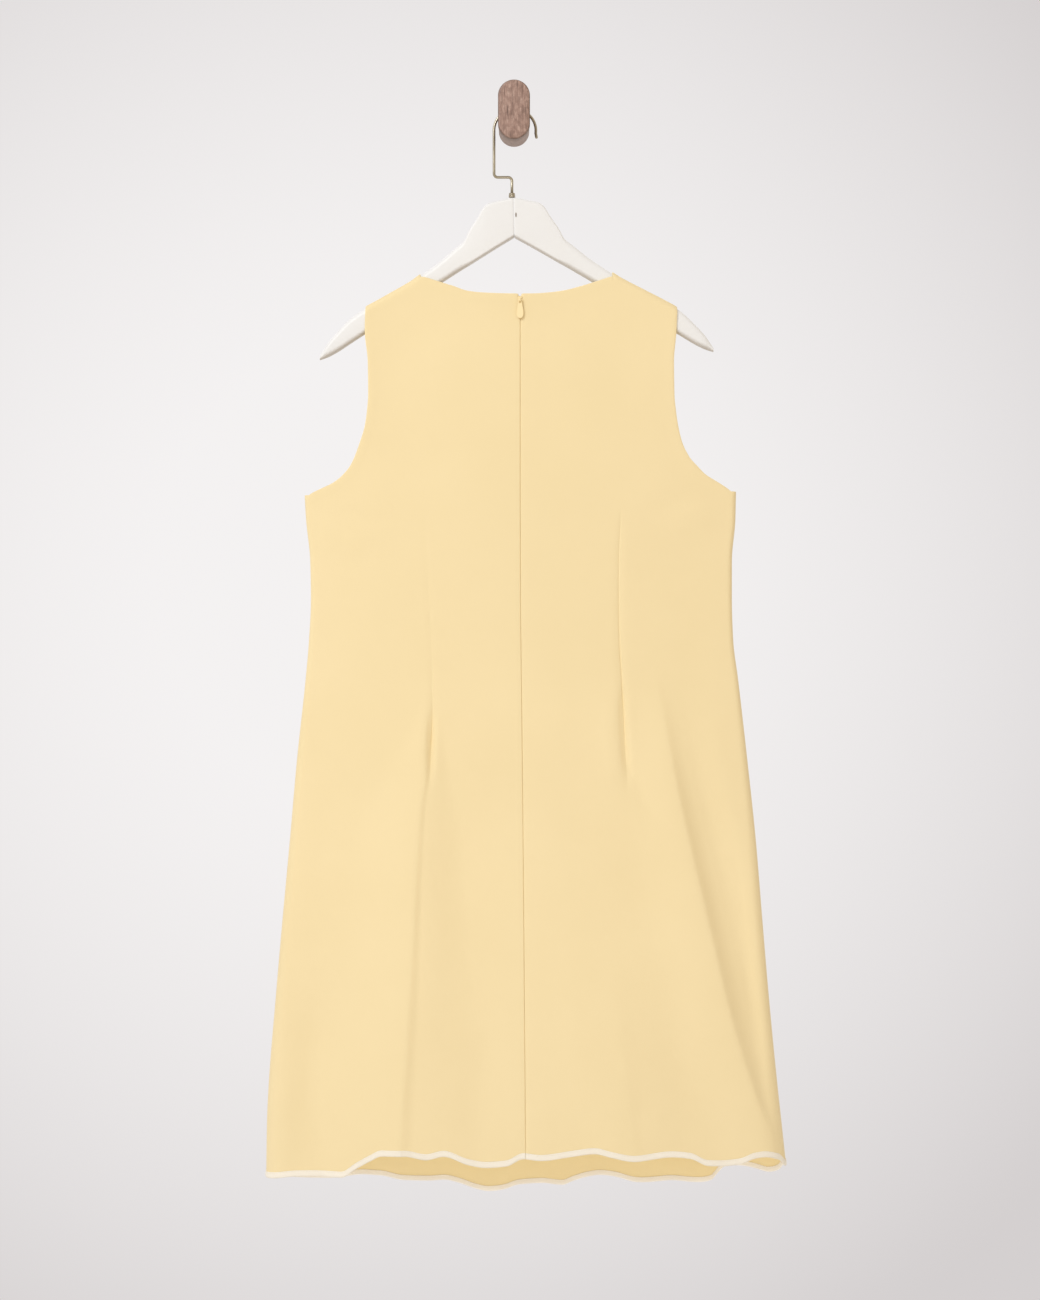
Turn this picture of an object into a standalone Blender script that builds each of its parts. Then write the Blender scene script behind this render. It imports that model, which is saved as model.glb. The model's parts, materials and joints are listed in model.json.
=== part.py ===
"""Sleeveless A-line dress, hung on a wooden hanger from a wall peg, with its back to the room.

Sizes are in millimetres, and every mesh is written in metres. X runs to the right as one faces
the wall, Y runs into the wall and Z runs up. The origin is the centre of the peg's flat back
face, so the wall is the plane y = 0. "Left" and "right" are as seen from the room.
"""
import math

import bmesh
import bpy
import numpy as np

MM = 0.001                     # metres in a millimetre

# Cloth
WALL = 1.2                     # thickness of the cloth wall
HALF = WALL / 2
SEAM_GAP = 0.3                 # space between two pieces that are sewn together

# Hanger, peg and how far they stand from the wall
HANG_Y = -26.0                 # middle plane of the hanger, its hook and the shoulder seams
BOARD = 12.0                   # thickness of the hanger's wood
BOARD_TILT = math.radians(1.2)     # the hanger hangs a little lower on the left
BOARD_PIVOT_Z = -110.0
HEAD_ROUNDING, ARM_ROUNDING = 3.0, 5.5     # how far in the board's edges are rounded
JOINT_GAP = 0.3                # between the hanger's two halves
CLOTH_LIFT = 0.7               # from the wood to the cloth that lies over it
WRAP = BOARD / 2 + CLOTH_LIFT + HALF   # radius of the cloth's middle line over the hanger
STEM_RADIUS = 16.4
STEM_LENGTH = 36.0
PLATE_RADIUS = 17.0
PLATE_THICK = 10.0
PLATE_RISE = 29.2              # centre of the plate's upper round end above the stem's axis
WIRE = 3.0                     # diameter of the hook's wire
HOOK_FOOT_Z = -75.9            # where the wire's collar meets the wood
HOOK_BEND_Z = -54.3            # its square bend
HOOK_STEM_X, HOOK_RISE_X = -2.2, -21.3
HOOK_BEND_RADIUS = 4.0
HOOK_RADIUS = 22.4             # of the round part that hangs on the stem
HOOK_CENTRE_X, HOOK_CENTRE_Z = 1.0, -4.2
HOOK_TURN = math.radians(187)
HOOK_SIDES = 10

# Places on the dress
TIP_LEFT, TIP_RIGHT = -158.0, 173.6        # shoulder tips
NECK_LEFT, NECK_RIGHT = -100.5, 105.5      # where the shoulder seams reach the neckline
UNDERARM_LEFT, UNDERARM_RIGHT = -400.5, -391.0
SEAM_DROP = 5.0                # the shoulder seam lies this far below the ridge, on the back
FRONT_NECK_DROP = 84.0         # depth of the front neckline below the hanger's top
FRONT_NECK_POWER = 2.4
ZIP_TOP_OPEN = 1.6             # half opening of the zip at the neckline, above the slider
ZIP_OPEN_RUN = 20.0
ZIP_END_Z = -720.0
TAPE_WIDTH = 9.5
TAPE_THICK = 0.6
BINDING_WIDTH = 6.4            # seen width of the hem binding
BINDING_INSIDE = 5.7
BINDING_THICK = 0.8

# Slider and pull tab of the zip
SLIDER_X = 6.4
SLIDER_Y = -36.2               # axis of the pull tab's cross bar
SLIDER_Z = -186.4
ARCH_WIDE = 1.5
ARCH_THICK = 1.2
ARCH_HALF = 2.1                # half the arch's height, and how far it stands before the axis
ARCH_BEVEL = 0.5
TAB_THICK = 1.0
TAB_WINDOW = 1.2               # half its width
TAB_WINDOW_TOP, TAB_WINDOW_LOW = 0.6, 3.5      # its edges, below the axis


def table(columns, rows, in_order=False):
    """A short table with named columns, sorted by its first one unless it is in order."""
    names = columns.split()
    rows = rows if in_order else sorted(rows)
    return {name: np.array([row[i] for row in rows], float) for i, name in enumerate(names)}


def smooth(tab, column, at):
    """A column read along the table's first one, by cubic pieces that never overshoot."""
    xs, ys = next(iter(tab.values())), tab[column]
    step = np.diff(xs)
    slope = np.diff(ys) / step
    tangent = np.empty_like(ys)
    tangent[0], tangent[-1] = slope[0], slope[-1]
    product = slope[1:] * slope[:-1]
    total = np.where(product > 0, slope[1:] + slope[:-1], 1.0)
    tangent[1:-1] = np.where(product > 0, 2 * product / total, 0.0)
    at = np.clip(np.asarray(at, float), xs[0], xs[-1])
    i = np.clip(np.searchsorted(xs, at, side="right") - 1, 0, len(xs) - 2)
    t = (at - xs[i]) / step[i]
    return ((1 + 2 * t) * (1 - t) ** 2 * ys[i] + t * (1 - t) ** 2 * step[i] * tangent[i]
            + t * t * (3 - 2 * t) * ys[i + 1] + t * t * (t - 1) * step[i] * tangent[i + 1])


def ease(t):
    """0 to 1 with level ends."""
    t = np.clip(t, 0.0, 1.0)
    return t * t * (3 - 2 * t)


# The dress seen square on, below the underarms: outer side edges and centre-back seam.
OUTLINE = table("z left centre right", [
    (-391, -224.0, 6.8, 237.3), (-421, -222.2, 6.9, 236.6), (-464, -217.8, 7.0, 232.9),
    (-506, -217.0, 7.1, 232.8), (-549, -219.0, 7.5, 234.2), (-592, -222.7, 8.0, 239.5),
    (-677, -231.7, 9.0, 249.1), (-763, -239.2, 9.8, 258.1), (-848, -247.0, 10.5, 265.0),
    (-934, -254.4, 11.2, 272.2), (-1019, -261.2, 11.9, 280.4), (-1062, -263.2, 12.2, 285.0),
    (-1122, -264.0, 12.6, 291.4)])

# The same heights seen from the side: the side seams, how round the side folds are, and how
# far the back and the front bulge between them.
DEPTH = table("z seam fold back front", [
    (-160, -26.0, WRAP, 0.0, 0.0), (-200, -26.0, WRAP, 0.0, 0.0), (-262, -26.0, WRAP, 3.0, 1.5),
    (-320, -26.0, 6.4, 7.0, 3.5), (-400, -26.0, 4.8, 12.0, 7.0), (-506, -27.0, 5.0, 10.0, 7.0),
    (-592, -28.0, 6.0, 11.0, 8.0), (-677, -29.5, 8.0, 14.0, 9.0), (-848, -31.5, 10.5, 19.0, 11.0),
    (-1019, -33.5, 13.0, 23.0, 13.0), (-1122, -35.0, 14.5, 26.0, 14.0)])

ARMHOLE_LEFT = table("z x", [
    (-400.5, -218.6), (-394, -214.5), (-389, -208.7), (-380.4, -191.0), (-372, -181.0),
    (-363.4, -174.1), (-354.8, -169.8), (-338, -163.6), (-320.7, -158.4), (-303.6, -156.0),
    (-286.5, -154.8), (-252, -155.3), (-218, -158.6), (-195, TIP_LEFT)])
ARMHOLE_RIGHT = table("z x", [
    (-391, 231.9), (-386, 225.5), (-380.4, 216.6), (-372, 203.2), (-363.4, 194.8),
    (-354.8, 187.0), (-338, 178.6), (-320.7, 174.4), (-303.6, 171.9), (-286.5, 170.4),
    (-252, 170.0), (-218, 172.8), (-195, TIP_RIGHT)])

BACK_NECK = table("x z", [
    (NECK_LEFT, -161.5), (-91.7, -163.5), (-83, -166.3), (-66, -171.5), (-49, -177.2),
    (-32, -179.0), (0, -180.0), (19, -180.0), (36, -179.0), (53, -176.8), (70, -172.5),
    (87, -167.3), (NECK_RIGHT, -161.3)])

# The wavy hem: a row for each high and low of its wave, and for the ends of its steep parts.
BACK_HEM = table("x z", [
    (-263, -1119.3), (-228, -1115.5), (-182, -1115.2), (-167, -1105.5), (-150, -1095.4),
    (-139, -1090.3), (-116, -1090.0), (-92, -1094.0), (-74, -1090.6), (-48, -1099.8),
    (-30, -1103.0), (-8, -1101.5), (10, -1093.8), (28, -1095.6), (61, -1091.3), (86, -1088.2),
    (103, -1092.0), (128, -1096.4), (165, -1092.8), (187, -1095.1), (205, -1102.9),
    (220, -1103.5), (239, -1101.8), (256, -1095.8), (266, -1094.6), (281, -1098.4),
    (288, -1107.0)])
FRONT_HEM = table("x z", [
    (-263, -1119.3), (-229, -1124.2), (-198, -1125.2), (-161, -1120.4), (-144, -1121.9),
    (-118, -1128.6), (-92, -1130.0), (-75, -1129.0), (-58, -1132.4), (-41, -1137.8),
    (-28, -1140.0), (-14, -1138.6), (6, -1133.4), (28, -1132.6), (52, -1134.9), (62, -1130.9),
    (80, -1125.4), (92, -1123.7), (106, -1124.8), (132, -1130.0), (165, -1127.3),
    (198, -1130.3), (210, -1128.6), (219, -1118.9), (226, -1113.2), (242, -1111.8),
    (258, -1114.4), (272, -1118.0), (282, -1115.3), (288, -1107.0)])

# Folds: the crest's line, how far its slope runs to the left and right, its height, and how
# deep a trough follows on its right.
FOLD_FROM_DART = table("z crest left right height trough", [
    (-1140, -120, 75, 122, 9.0, 0.40), (-1040, -116, 75, 101, 9.0, 0.40),
    (-997, -113, 75, 88, 8.5, 0.40), (-912, -108, 75, 70, 7.5, 0.40),
    (-826, -104, 75, 55, 6.5, 0.35), (-741, -100, 70, 45, 5.0, 0.30),
    (-677, -90, 45, 22, 3.2, 0.20), (-640, -88, 25, 14, 1.6, 0.0), (-600, -87, 20, 10, 0.0, 0.0)])
FOLD_TO_CORNER = table("z crest left right height trough", [
    (-1140, 282, 60, 14, 3.0, 0.0), (-1072, 273, 70, 16, 5.0, 0.0),
    (-1040, 259, 75, 20, 6.5, 0.0), (-997, 245, 80, 27, 7.0, 0.0),
    (-955, 232, 80, 32, 7.5, 0.10), (-869, 211, 75, 31, 7.0, 0.15),
    (-784, 191, 65, 31, 6.0, 0.15), (-699, 172, 50, 28, 4.0, 0.10),
    (-613, 157, 30, 24, 1.2, 0.0), (-580, 150, 25, 20, 0.0, 0.0)])
FOLD_LOW_LEFT = table("z crest left right height trough", [
    (-1140, -177, 36, 40, 4.5, 0.0), (-1040, -175, 36, 40, 3.5, 0.0),
    (-930, -170, 36, 40, 0.0, 0.0)])
FOLD_LOW_CENTRE = table("z crest left right height trough", [
    (-1140, 132, 70, 60, 4.0, 0.3), (-1000, 118, 70, 60, 3.0, 0.3),
    (-860, 100, 70, 60, 0.0, 0.3)])
BACK_FOLDS = [FOLD_FROM_DART, FOLD_TO_CORNER, FOLD_LOW_LEFT, FOLD_LOW_CENTRE]
FRONT_FOLDS = [
    table("z crest left right height trough", [
        (-1140, -150, 60, 55, 9.0, 0.2), (-900, -138, 55, 45, 5.5, 0.2),
        (-700, -126, 45, 40, 0.0, 0.2)]),
    table("z crest left right height trough", [
        (-1140, -8, 70, 50, 7.0, 0.2), (-950, 4, 60, 45, 5.0, 0.2),
        (-760, 12, 45, 40, 0.0, 0.2)]),
    table("z crest left right height trough", [
        (-1140, 158, 60, 60, 9.0, 0.2), (-880, 148, 55, 50, 5.5, 0.2),
        (-660, 132, 45, 40, 0.0, 0.2)])]

# Fish-eye darts of the back: where they run across the panel (0 left side, 1 right side), and
# how deep their crease is down their length.
DART_COLUMNS = (0.291, 0.737)
DART_HALF_WIDTH = 6.5
DART_CREASE = table("z depth", [
    (-720, 0.0), (-680, 1.6), (-645, 2.4), (-592, 1.6), (-520, 1.1), (-440, 0.7), (-405, 0.0)])
FOLD_FADE = 24.0               # folds die out this near a side fold

# Columns of the back and front walls: a number across the dress below the underarms and at the
# shoulders, with even steps between the rows of the table.
BACK_COLUMNS = table("index body top", [
    (0, 0.0, 0.0), (6, 0.171, 0.175), (7, 0.192, 0.1785), (8, 0.213, 0.184), (9, 0.234, 0.194),
    (10, 0.255, 0.21), (11, 0.276, 0.233), (12, DART_COLUMNS[0], 0.26), (13, 0.306, 0.29),
    (21, 0.5, 0.5), (29, 0.722, 0.68), (30, DART_COLUMNS[1], 0.705), (31, 0.752, 0.73),
    (32, 0.774, 0.752), (33, 0.795, 0.77), (34, 0.817, 0.784), (35, 0.838, 0.7925),
    (36, 0.86, 0.7965), (42, 1.0, 1.0)])
BACK_CENTRE = 21
FRONT_COLUMNS = table("index body top", [
    (0, 0.0, 0.0), (6, 0.19, 0.175), (7, 0.221, 0.179), (8, 0.252, 0.19), (9, 0.283, 0.21),
    (10, 0.314, 0.245), (22, 0.686, 0.735), (23, 0.717, 0.765), (24, 0.748, 0.784),
    (25, 0.779, 0.7925), (26, 0.81, 0.7965), (32, 1.0, 1.0)])

# Rows, as shares of the way up from the hem to the underarm line.
FOLD_ARCS = 4                  # steps round each side fold
BODY_ROWS = np.array([0, 9, 38, 76, 118, 162, 208, 256, 304, 350, 394, 432, 474, 526, 582,
                      642, 702]) / 702.0
YOKE_ROWS = (0.0, 0.04, 0.09, 0.16, 0.26, 0.40, 0.58, 0.78, 1.0)
BACK_TOP_STEPS = 3             # steps of the back over the hanger's edge
FRONT_TOP_STEPS = 6
SHOULDER = 7                   # columns along each shoulder seam


# ---------------------------------------------------------------- hanger outline

BOARD_TOP = table("x z", [
    (0, -76.3), (17, -79.9), (27, -82.4), (32, -86.0), (39, -97.5), (48.5, -111.6),
    (53.2, -121.0), (61.6, -127.9), (81.6, -144.3), (97.5, -155.4), (110.6, -164.2),
    (138, -179.2), (166.7, -195.1), (178, -203.0), (191.3, -216.2), (201.6, -227.6),
    (208, -237.5), (210.6, -242.0)])
BOARD_BOTTOM = table("x z", [
    (0, -118.6), (20, -130.2), (85, -169.8), (170, -224.0), (201.6, -242.6), (210.6, -245.6)])
ARM_STATIONS = [JOINT_GAP / 2, 10, 20, 27, 32, 36, 40, 45, 50, 54, 62, 80, 104, 135, 165, 180,
                192, 201, 207, 210.2]

# The zip's slider from its inner body out to its plate: a neck runs through the zip's V.
SLIDER_SECTIONS = table("y half below above", [
    (-28.6, 2.6, 3.4, 3.8), (-29.4, 3.6, 4.4, 4.8), (-31.2, 3.6, 4.4, 4.8),
    (-31.2, 0.5, 2.4, 3.0), (-34.1, 0.5, 2.4, 3.0), (-34.1, 2.2, 3.4, 3.8),
    (-35.1, 1.8, 3.1, 3.5)], in_order=True)
TAB_OUTLINE = table("down half", [
    (-0.6, 1.7), (-0.1, 2.25), (4.5, 2.3), (8.0, 2.9), (11.5, 3.5), (14.5, 3.7), (16.8, 3.4),
    (18.4, 2.6), (19.3, 1.5), (19.6, 0.5)])


def tilt(x, z):
    """A point of the level hanger as it hangs."""
    dz = z - BOARD_PIVOT_Z
    cos, sin = math.cos(BOARD_TILT), math.sin(BOARD_TILT)
    return x * cos - dz * sin, BOARD_PIVOT_Z + x * sin + dz * cos


def crest_line():
    """Middle line of the cloth along the top of both arms, outside the neck."""
    reach = np.linspace(85.0, 205.0, 61)
    lines = []
    for side in (-1, 1):
        x, z = tilt(side * reach, smooth(BOARD_TOP, "z", reach))
        dx, dz = np.gradient(x), np.gradient(z)
        size = np.hypot(dx, dz)
        lift = CLOTH_LIFT + HALF
        lines.append(np.stack([x - side * dz / size * lift, z + side * dx / size * lift], axis=1))
    inner_left, inner_right = NECK_LEFT + 8.0, NECK_RIGHT - 8.0
    left = lines[0][::-1]
    left = left[left[:, 0] < inner_left]
    right = lines[1][lines[1][:, 0] > inner_right]
    return np.concatenate([left, right])


CREST = crest_line()


def crest_z(x):
    return np.interp(x, CREST[:, 0], CREST[:, 1])


# ---------------------------------------------------------------- form of the cloth

def side_edges(z):
    """Middle lines of the wall at the left and right side folds."""
    return smooth(OUTLINE, "left", z) + HALF, smooth(OUTLINE, "right", z) - HALF


def half_depth(x, z, bulge):
    """Distance of the wall's middle from the plane of the side seams."""
    left, right = side_edges(z)
    centre, reach = (left + right) / 2, (right - left) / 2
    across = np.clip((x - centre) / reach, -1, 1)
    fold = smooth(DEPTH, "fold", z)
    inward = np.clip(reach - np.abs(x - centre), 0, fold)
    arc = np.sqrt(np.maximum(fold ** 2 - (fold - inward) ** 2, 0))
    return arc + smooth(DEPTH, bulge, z) * (1 - across ** 2)


def fold_height(x, z, folds):
    """Height of the long folds over the plain form, away from the inside of the dress."""
    left, right = side_edges(z)
    edge = ease(np.minimum(x - left, right - x) / FOLD_FADE)
    height = np.zeros(np.broadcast(x, z).shape)
    for fold in folds:
        dx = x - smooth(fold, "crest", z)
        run_left, run_right = smooth(fold, "left", z), smooth(fold, "right", z)
        trough = smooth(fold, "trough", z)
        rise = ease(1 + dx / run_left)
        fall = 1 - (1 + trough) * ease(dx / run_right)
        level = -trough * (1 - ease((dx - run_right) / (1.2 * run_right)))
        shape = np.where(dx < 0, rise, np.where(dx < run_right, fall, level))
        height = height + smooth(fold, "height", z) * shape
    return height * edge


def dart_crease(x, z):
    depth = np.zeros(np.broadcast(x, z).shape)
    for column in DART_COLUMNS:
        away = np.abs(x - column_x(column, z)) / DART_HALF_WIDTH
        depth = depth + smooth(DART_CREASE, "depth", z) * np.clip(1 - away, 0, 1)
    return depth


def back_y(x, z):
    plain = smooth(DEPTH, "seam", z) - half_depth(x, z, "back")
    return plain - fold_height(x, z, BACK_FOLDS) + dart_crease(x, z)


def front_y(x, z):
    """The front keeps off the wall, so its folds go inwards."""
    plain = smooth(DEPTH, "seam", z) + half_depth(x, z, "front")
    return plain - fold_height(x, z, FRONT_FOLDS)


def column_x(column, z):
    """Across the dress: -1 to 0 round the left side fold, 0 to 1 between, 1 to 2 round the
    right one. The centre-back seam is at 0.5."""
    left, right = side_edges(z)
    fold = smooth(DEPTH, "fold", z)
    centre = smooth(OUTLINE, "centre", z)
    inner_left, inner_right = left + fold, right - fold
    flat = np.clip(column, 0, 1)
    between = np.where(flat < 0.5, inner_left + (centre - inner_left) * 2 * flat,
                       centre + (inner_right - centre) * (2 * flat - 1))
    turn_left = fold * np.cos(np.clip(column + 1, 0, 1) * math.pi / 2)
    turn_right = fold * np.cos(np.clip(2 - column, 0, 1) * math.pi / 2)
    return np.where(column < 0, inner_left - turn_left,
                    np.where(column > 1, inner_right + turn_right, between))


def over_hanger(x, down):
    """The cloth near the top: `down` is the way along it from the ridge, to the back if it is
    above 0 and to the front if it is below."""
    turn = np.minimum(np.abs(down) / WRAP, math.pi / 2)
    below = np.maximum(np.abs(down) - WRAP * math.pi / 2, 0)
    z = crest_z(x) - WRAP * (1 - np.cos(turn)) - below
    arc = HANG_Y - np.sign(down) * WRAP * np.sin(turn)
    y = np.where(below > 0, np.where(down > 0, back_y(x, z), front_y(x, z)), arc)
    return np.stack([x + 0 * z, y, z], axis=-1)


def back_edge(x):
    """Way down from the ridge to the back's top edge: its shoulder seam or its neckline."""
    drop = crest_z(x) - smooth(BACK_NECK, "z", x)
    turned = WRAP * np.arccos(np.clip(1 - drop / WRAP, -1, 1))
    hanging = WRAP * math.pi / 2 + drop - WRAP
    neck = np.where(drop < WRAP, turned, hanging)
    inside = (x > NECK_LEFT + 0.01) & (x < NECK_RIGHT - 0.01)
    return np.where(inside, np.maximum(neck, SEAM_DROP), SEAM_DROP)


def front_edge(x):
    """Way from the ridge to the top of the part of the front that hangs straight down."""
    across = np.clip((x - NECK_LEFT) / (NECK_RIGHT - NECK_LEFT), 0, 1)
    curve = (1 - np.abs(2 * across - 1) ** FRONT_NECK_POWER) ** (1 / FRONT_NECK_POWER)
    return -WRAP * math.pi / 2 - FRONT_NECK_DROP * curve


def columns_of(tab):
    """Body and shoulder positions of every column, from the table's few rows."""
    index = np.arange(int(tab["index"][-1]) + 1)
    return np.interp(index, tab["index"], tab["body"]), np.interp(index, tab["index"], tab["top"])


def shoulder_x(column):
    """Across the dress along its top edge."""
    centre = smooth(OUTLINE, "centre", OUTLINE["z"][-1]) - 0.5
    return np.where(column < 0.5, TIP_LEFT + (centre - TIP_LEFT) * 2 * column,
                    centre + (TIP_RIGHT - centre) * (2 * column - 1))


def underarm_z(column):
    return UNDERARM_LEFT + (UNDERARM_RIGHT - UNDERARM_LEFT) * np.clip(column, 0, 1)


def body_grid(columns, hem, surface_y):
    """Points from the hem up to the underarm line, a row for each height."""
    turn = np.arange(FOLD_ARCS) / FOLD_ARCS
    columns = np.concatenate([turn - 1, columns, 2 - turn[::-1]])
    hem_z = smooth(hem, "z", column_x(columns, -1105.0))
    rise = BODY_ROWS[:, None]
    z = hem_z + (underarm_z(columns) - hem_z) * rise
    x = column_x(columns[None, :], z)
    return np.stack([x, surface_y(x, z), z], axis=-1)


def yoke_grid(base, body, top, edge, steps, direction):
    """Points from the underarm line `base` up to the armholes, shoulders and neckline."""
    x_top = shoulder_x(top)
    ways = edge(x_top) + direction * steps
    top_rows = [over_hanger(x_top, way) for way in ways]
    z_low = base[:, 2]
    z_high = top_rows[0][:, 2]
    surface_y = back_y if direction > 0 else front_y
    rows = [base]
    for share in YOKE_ROWS[1:-1]:
        z = z_low + (z_high - z_low) * share
        column = body + (top - body) * ease(share)
        left = smooth(ARMHOLE_LEFT, "x", z[0])
        right = smooth(ARMHOLE_RIGHT, "x", z[-1])
        centre = smooth(OUTLINE, "centre", z)
        x = np.where(column < 0.5, left + (centre - left) * 2 * column,
                     centre + (right - centre) * (2 * column - 1))
        rows.append(np.stack([x, surface_y(x, z), z], axis=-1))
    return np.stack(rows + top_rows)


# ---------------------------------------------------------------- meshes

def new_object(name, points, faces, material, smooth_shaded=True):
    """A closed mesh from points in millimetres."""
    mesh = bpy.data.meshes.new(name)
    mesh.from_pydata([tuple(float(v) * MM for v in p) for p in points], [], faces)
    mesh.validate()
    shape = bmesh.new()
    shape.from_mesh(mesh)
    bmesh.ops.recalc_face_normals(shape, faces=shape.faces)
    shape.to_mesh(mesh)
    shape.free()
    if smooth_shaded:
        mesh.shade_smooth()
        mesh.set_sharp_from_angle(angle=math.radians(35))
    mesh.materials.append(material)
    thing = bpy.data.objects.new(name, mesh)
    bpy.context.scene.collection.objects.link(thing)
    return thing


def surface_material(name, colour, roughness, metallic=0.0):
    material = bpy.data.materials.new(name)
    material.use_nodes = True
    shader = material.node_tree.nodes["Principled BSDF"]
    shader.inputs["Base Color"].default_value = (*colour, 1.0)
    shader.inputs["Roughness"].default_value = roughness
    shader.inputs["Metallic"].default_value = metallic
    material.diffuse_color = (*colour, 1.0)
    return material


def place(point):
    """A key that is the same for points that two pieces share."""
    return tuple(np.round(point, 3))


class Panel:
    """The middle surface of one piece of cloth: a grid below the underarms, one above them,
    and others that share an edge with these."""

    def __init__(self, grids, outward):
        self.points, self.faces, self.numbers = [], [], {}
        self.ids = [self.number(grid) for grid in grids]
        for ids in self.ids:
            for row in range(ids.shape[0] - 1):
                for column in range(ids.shape[1] - 1):
                    quad = [ids[row, column], ids[row, column + 1],
                            ids[row + 1, column + 1], ids[row + 1, column]]
                    self.faces.append([int(i) for i in (quad if outward < 0 else quad[::-1])])
        self.points = np.array(self.points)
        self.body_ids, self.yoke_ids = self.ids[:2]

    def number(self, grid):
        """Numbers a grid's points; a point that another grid of the piece has is shared."""
        ids = np.empty(grid.shape[:2], int)
        for spot in np.ndindex(ids.shape):
            key = place(grid[spot])
            if key not in self.numbers:
                self.numbers[key] = len(self.points)
                self.points.append(grid[spot])
            ids[spot] = self.numbers[key]
        return ids


def joined_normals(panels):
    """Normals of the whole sewn surface at each point, so pieces meet squarely at seams."""
    total = {}
    for panel in panels:
        for face in panel.faces:
            a, b, c, d = (panel.points[i] for i in face)
            normal = np.cross(c - a, d - b)
            for i in face:
                key = place(panel.points[i])
                total[key] = total.get(key, np.zeros(3)) + normal
    for panel in panels:
        sums = np.array([total[place(p)] for p in panel.points])
        panel.normals = sums / np.linalg.norm(sums, axis=1)[:, None]


def draw_in(panel, edge_ids, inner_ids, amount):
    """Moves an edge's points towards the inside of their piece, along the cloth."""
    amount = np.broadcast_to(amount, len(edge_ids))
    moved = []
    for edge, inner, far in zip(edge_ids, inner_ids, amount):
        way = panel.points[inner] - panel.points[edge]
        way = way - panel.normals[edge] * np.dot(way, panel.normals[edge])
        moved.append(panel.points[edge] + way / np.linalg.norm(way) * far)
    panel.points[edge_ids] = moved


def halves(points, quad):
    """A four-sided face as two triangles, cut along its shorter diagonal."""
    a, b, c, d = quad
    if np.linalg.norm(points[a] - points[c]) <= np.linalg.norm(points[b] - points[d]):
        return [[a, b, c], [a, c, d]]
    return [[a, b, d], [b, c, d]]


def wall_mesh(name, panel, material):
    """The piece as a wall of even thickness with square edges. Both of its sides are cut into
    the same triangles, so the wall stays even where it twists."""
    count = len(panel.points)
    outer = panel.points + panel.normals * HALF
    inner = panel.points - panel.normals * HALF
    faces = [half for quad in panel.faces for half in halves(panel.points, quad)]
    faces += [[i + count for i in reversed(half)] for half in faces]
    borders = {}
    for face in panel.faces:
        for a, b in zip(face, face[1:] + face[:1]):
            if (b, a) in borders:
                del borders[b, a]
            else:
                borders[a, b] = True
    faces += [[b, a, a + count, b + count] for a, b in borders]
    return new_object(name, np.concatenate([outer, inner]), faces, material)


def loft(name, rings, material, smooth_shaded=True):
    """A closed body through rings that have the same number of points."""
    rings = [np.asarray(ring, float) for ring in rings]
    size = len(rings[0])
    points = np.concatenate(rings)
    faces = [list(range(size)), list(range(len(points) - size, len(points)))]
    for k in range(len(rings) - 1):
        for i in range(size):
            j = (i + 1) % size
            faces.append([k * size + i, k * size + j, (k + 1) * size + j, (k + 1) * size + i])
    return new_object(name, points, faces, material, smooth_shaded)


# ---------------------------------------------------------------- the dress

def make_panels():
    body, top = columns_of(BACK_COLUMNS)
    grid = body_grid(body, BACK_HEM, back_y)
    flat = slice(FOLD_ARCS, FOLD_ARCS + len(body))
    steps = WRAP * math.pi / 2 - SEAM_DROP
    steps = steps * np.linspace(1, 0, BACK_TOP_STEPS + 1)[:, None]
    yoke = yoke_grid(grid[-1, flat], body, top, back_edge, steps, 1)
    middle = FOLD_ARCS + BACK_CENTRE
    left = Panel([grid[:, :middle + 1], yoke[:, :BACK_CENTRE + 1]], -1)
    right = Panel([grid[:, middle:], yoke[:, BACK_CENTRE:]], -1)

    body, top = columns_of(FRONT_COLUMNS)
    grid = body_grid(body, FRONT_HEM, front_y)
    flat = slice(FOLD_ARCS, FOLD_ARCS + len(body))
    yoke = yoke_grid(grid[-1, flat], body, top, front_edge, np.zeros((1, 1)), -1)
    ways = np.linspace(-WRAP * math.pi / 2, SEAM_DROP, FRONT_TOP_STEPS + 1)
    over = np.stack([over_hanger(shoulder_x(top), way) for way in ways])
    front = Panel([grid, yoke, over[:, :SHOULDER], over[:, -SHOULDER:]], 1)
    return left, right, front


def part_seams(left, right, front):
    """Opens the gap at each seam, and the small V at the top of the zip."""
    half = SEAM_GAP / 2
    draw_in(left, left.body_ids[:, 0], left.body_ids[:, 1], half)
    draw_in(right, right.body_ids[:, -1], right.body_ids[:, -2], half)
    draw_in(front, front.body_ids[:, 0], front.body_ids[:, 1], half)
    draw_in(front, front.body_ids[:, -1], front.body_ids[:, -2], half)
    for panel, edge, inner in ((left, -1, -2), (right, 0, 1)):
        body_edge, body_inner = panel.body_ids[:-1, edge], panel.body_ids[:-1, inner]
        draw_in(panel, body_edge, body_inner, half)
        yoke_edge, yoke_inner = panel.yoke_ids[:, edge], panel.yoke_ids[:, inner]
        height = panel.points[yoke_edge, 2]
        open_share = np.clip(1 + (height - height[-1]) / ZIP_OPEN_RUN, 0, 1)
        draw_in(panel, yoke_edge, yoke_inner, half + ZIP_TOP_OPEN * open_share)
    draw_in(left, left.yoke_ids[-1, :SHOULDER], left.yoke_ids[-2, :SHOULDER], half)
    draw_in(right, right.yoke_ids[-1, -SHOULDER:], right.yoke_ids[-2, -SHOULDER:], half)
    for over in front.ids[2:]:
        draw_in(front, over[-1], over[-2], half)


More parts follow.
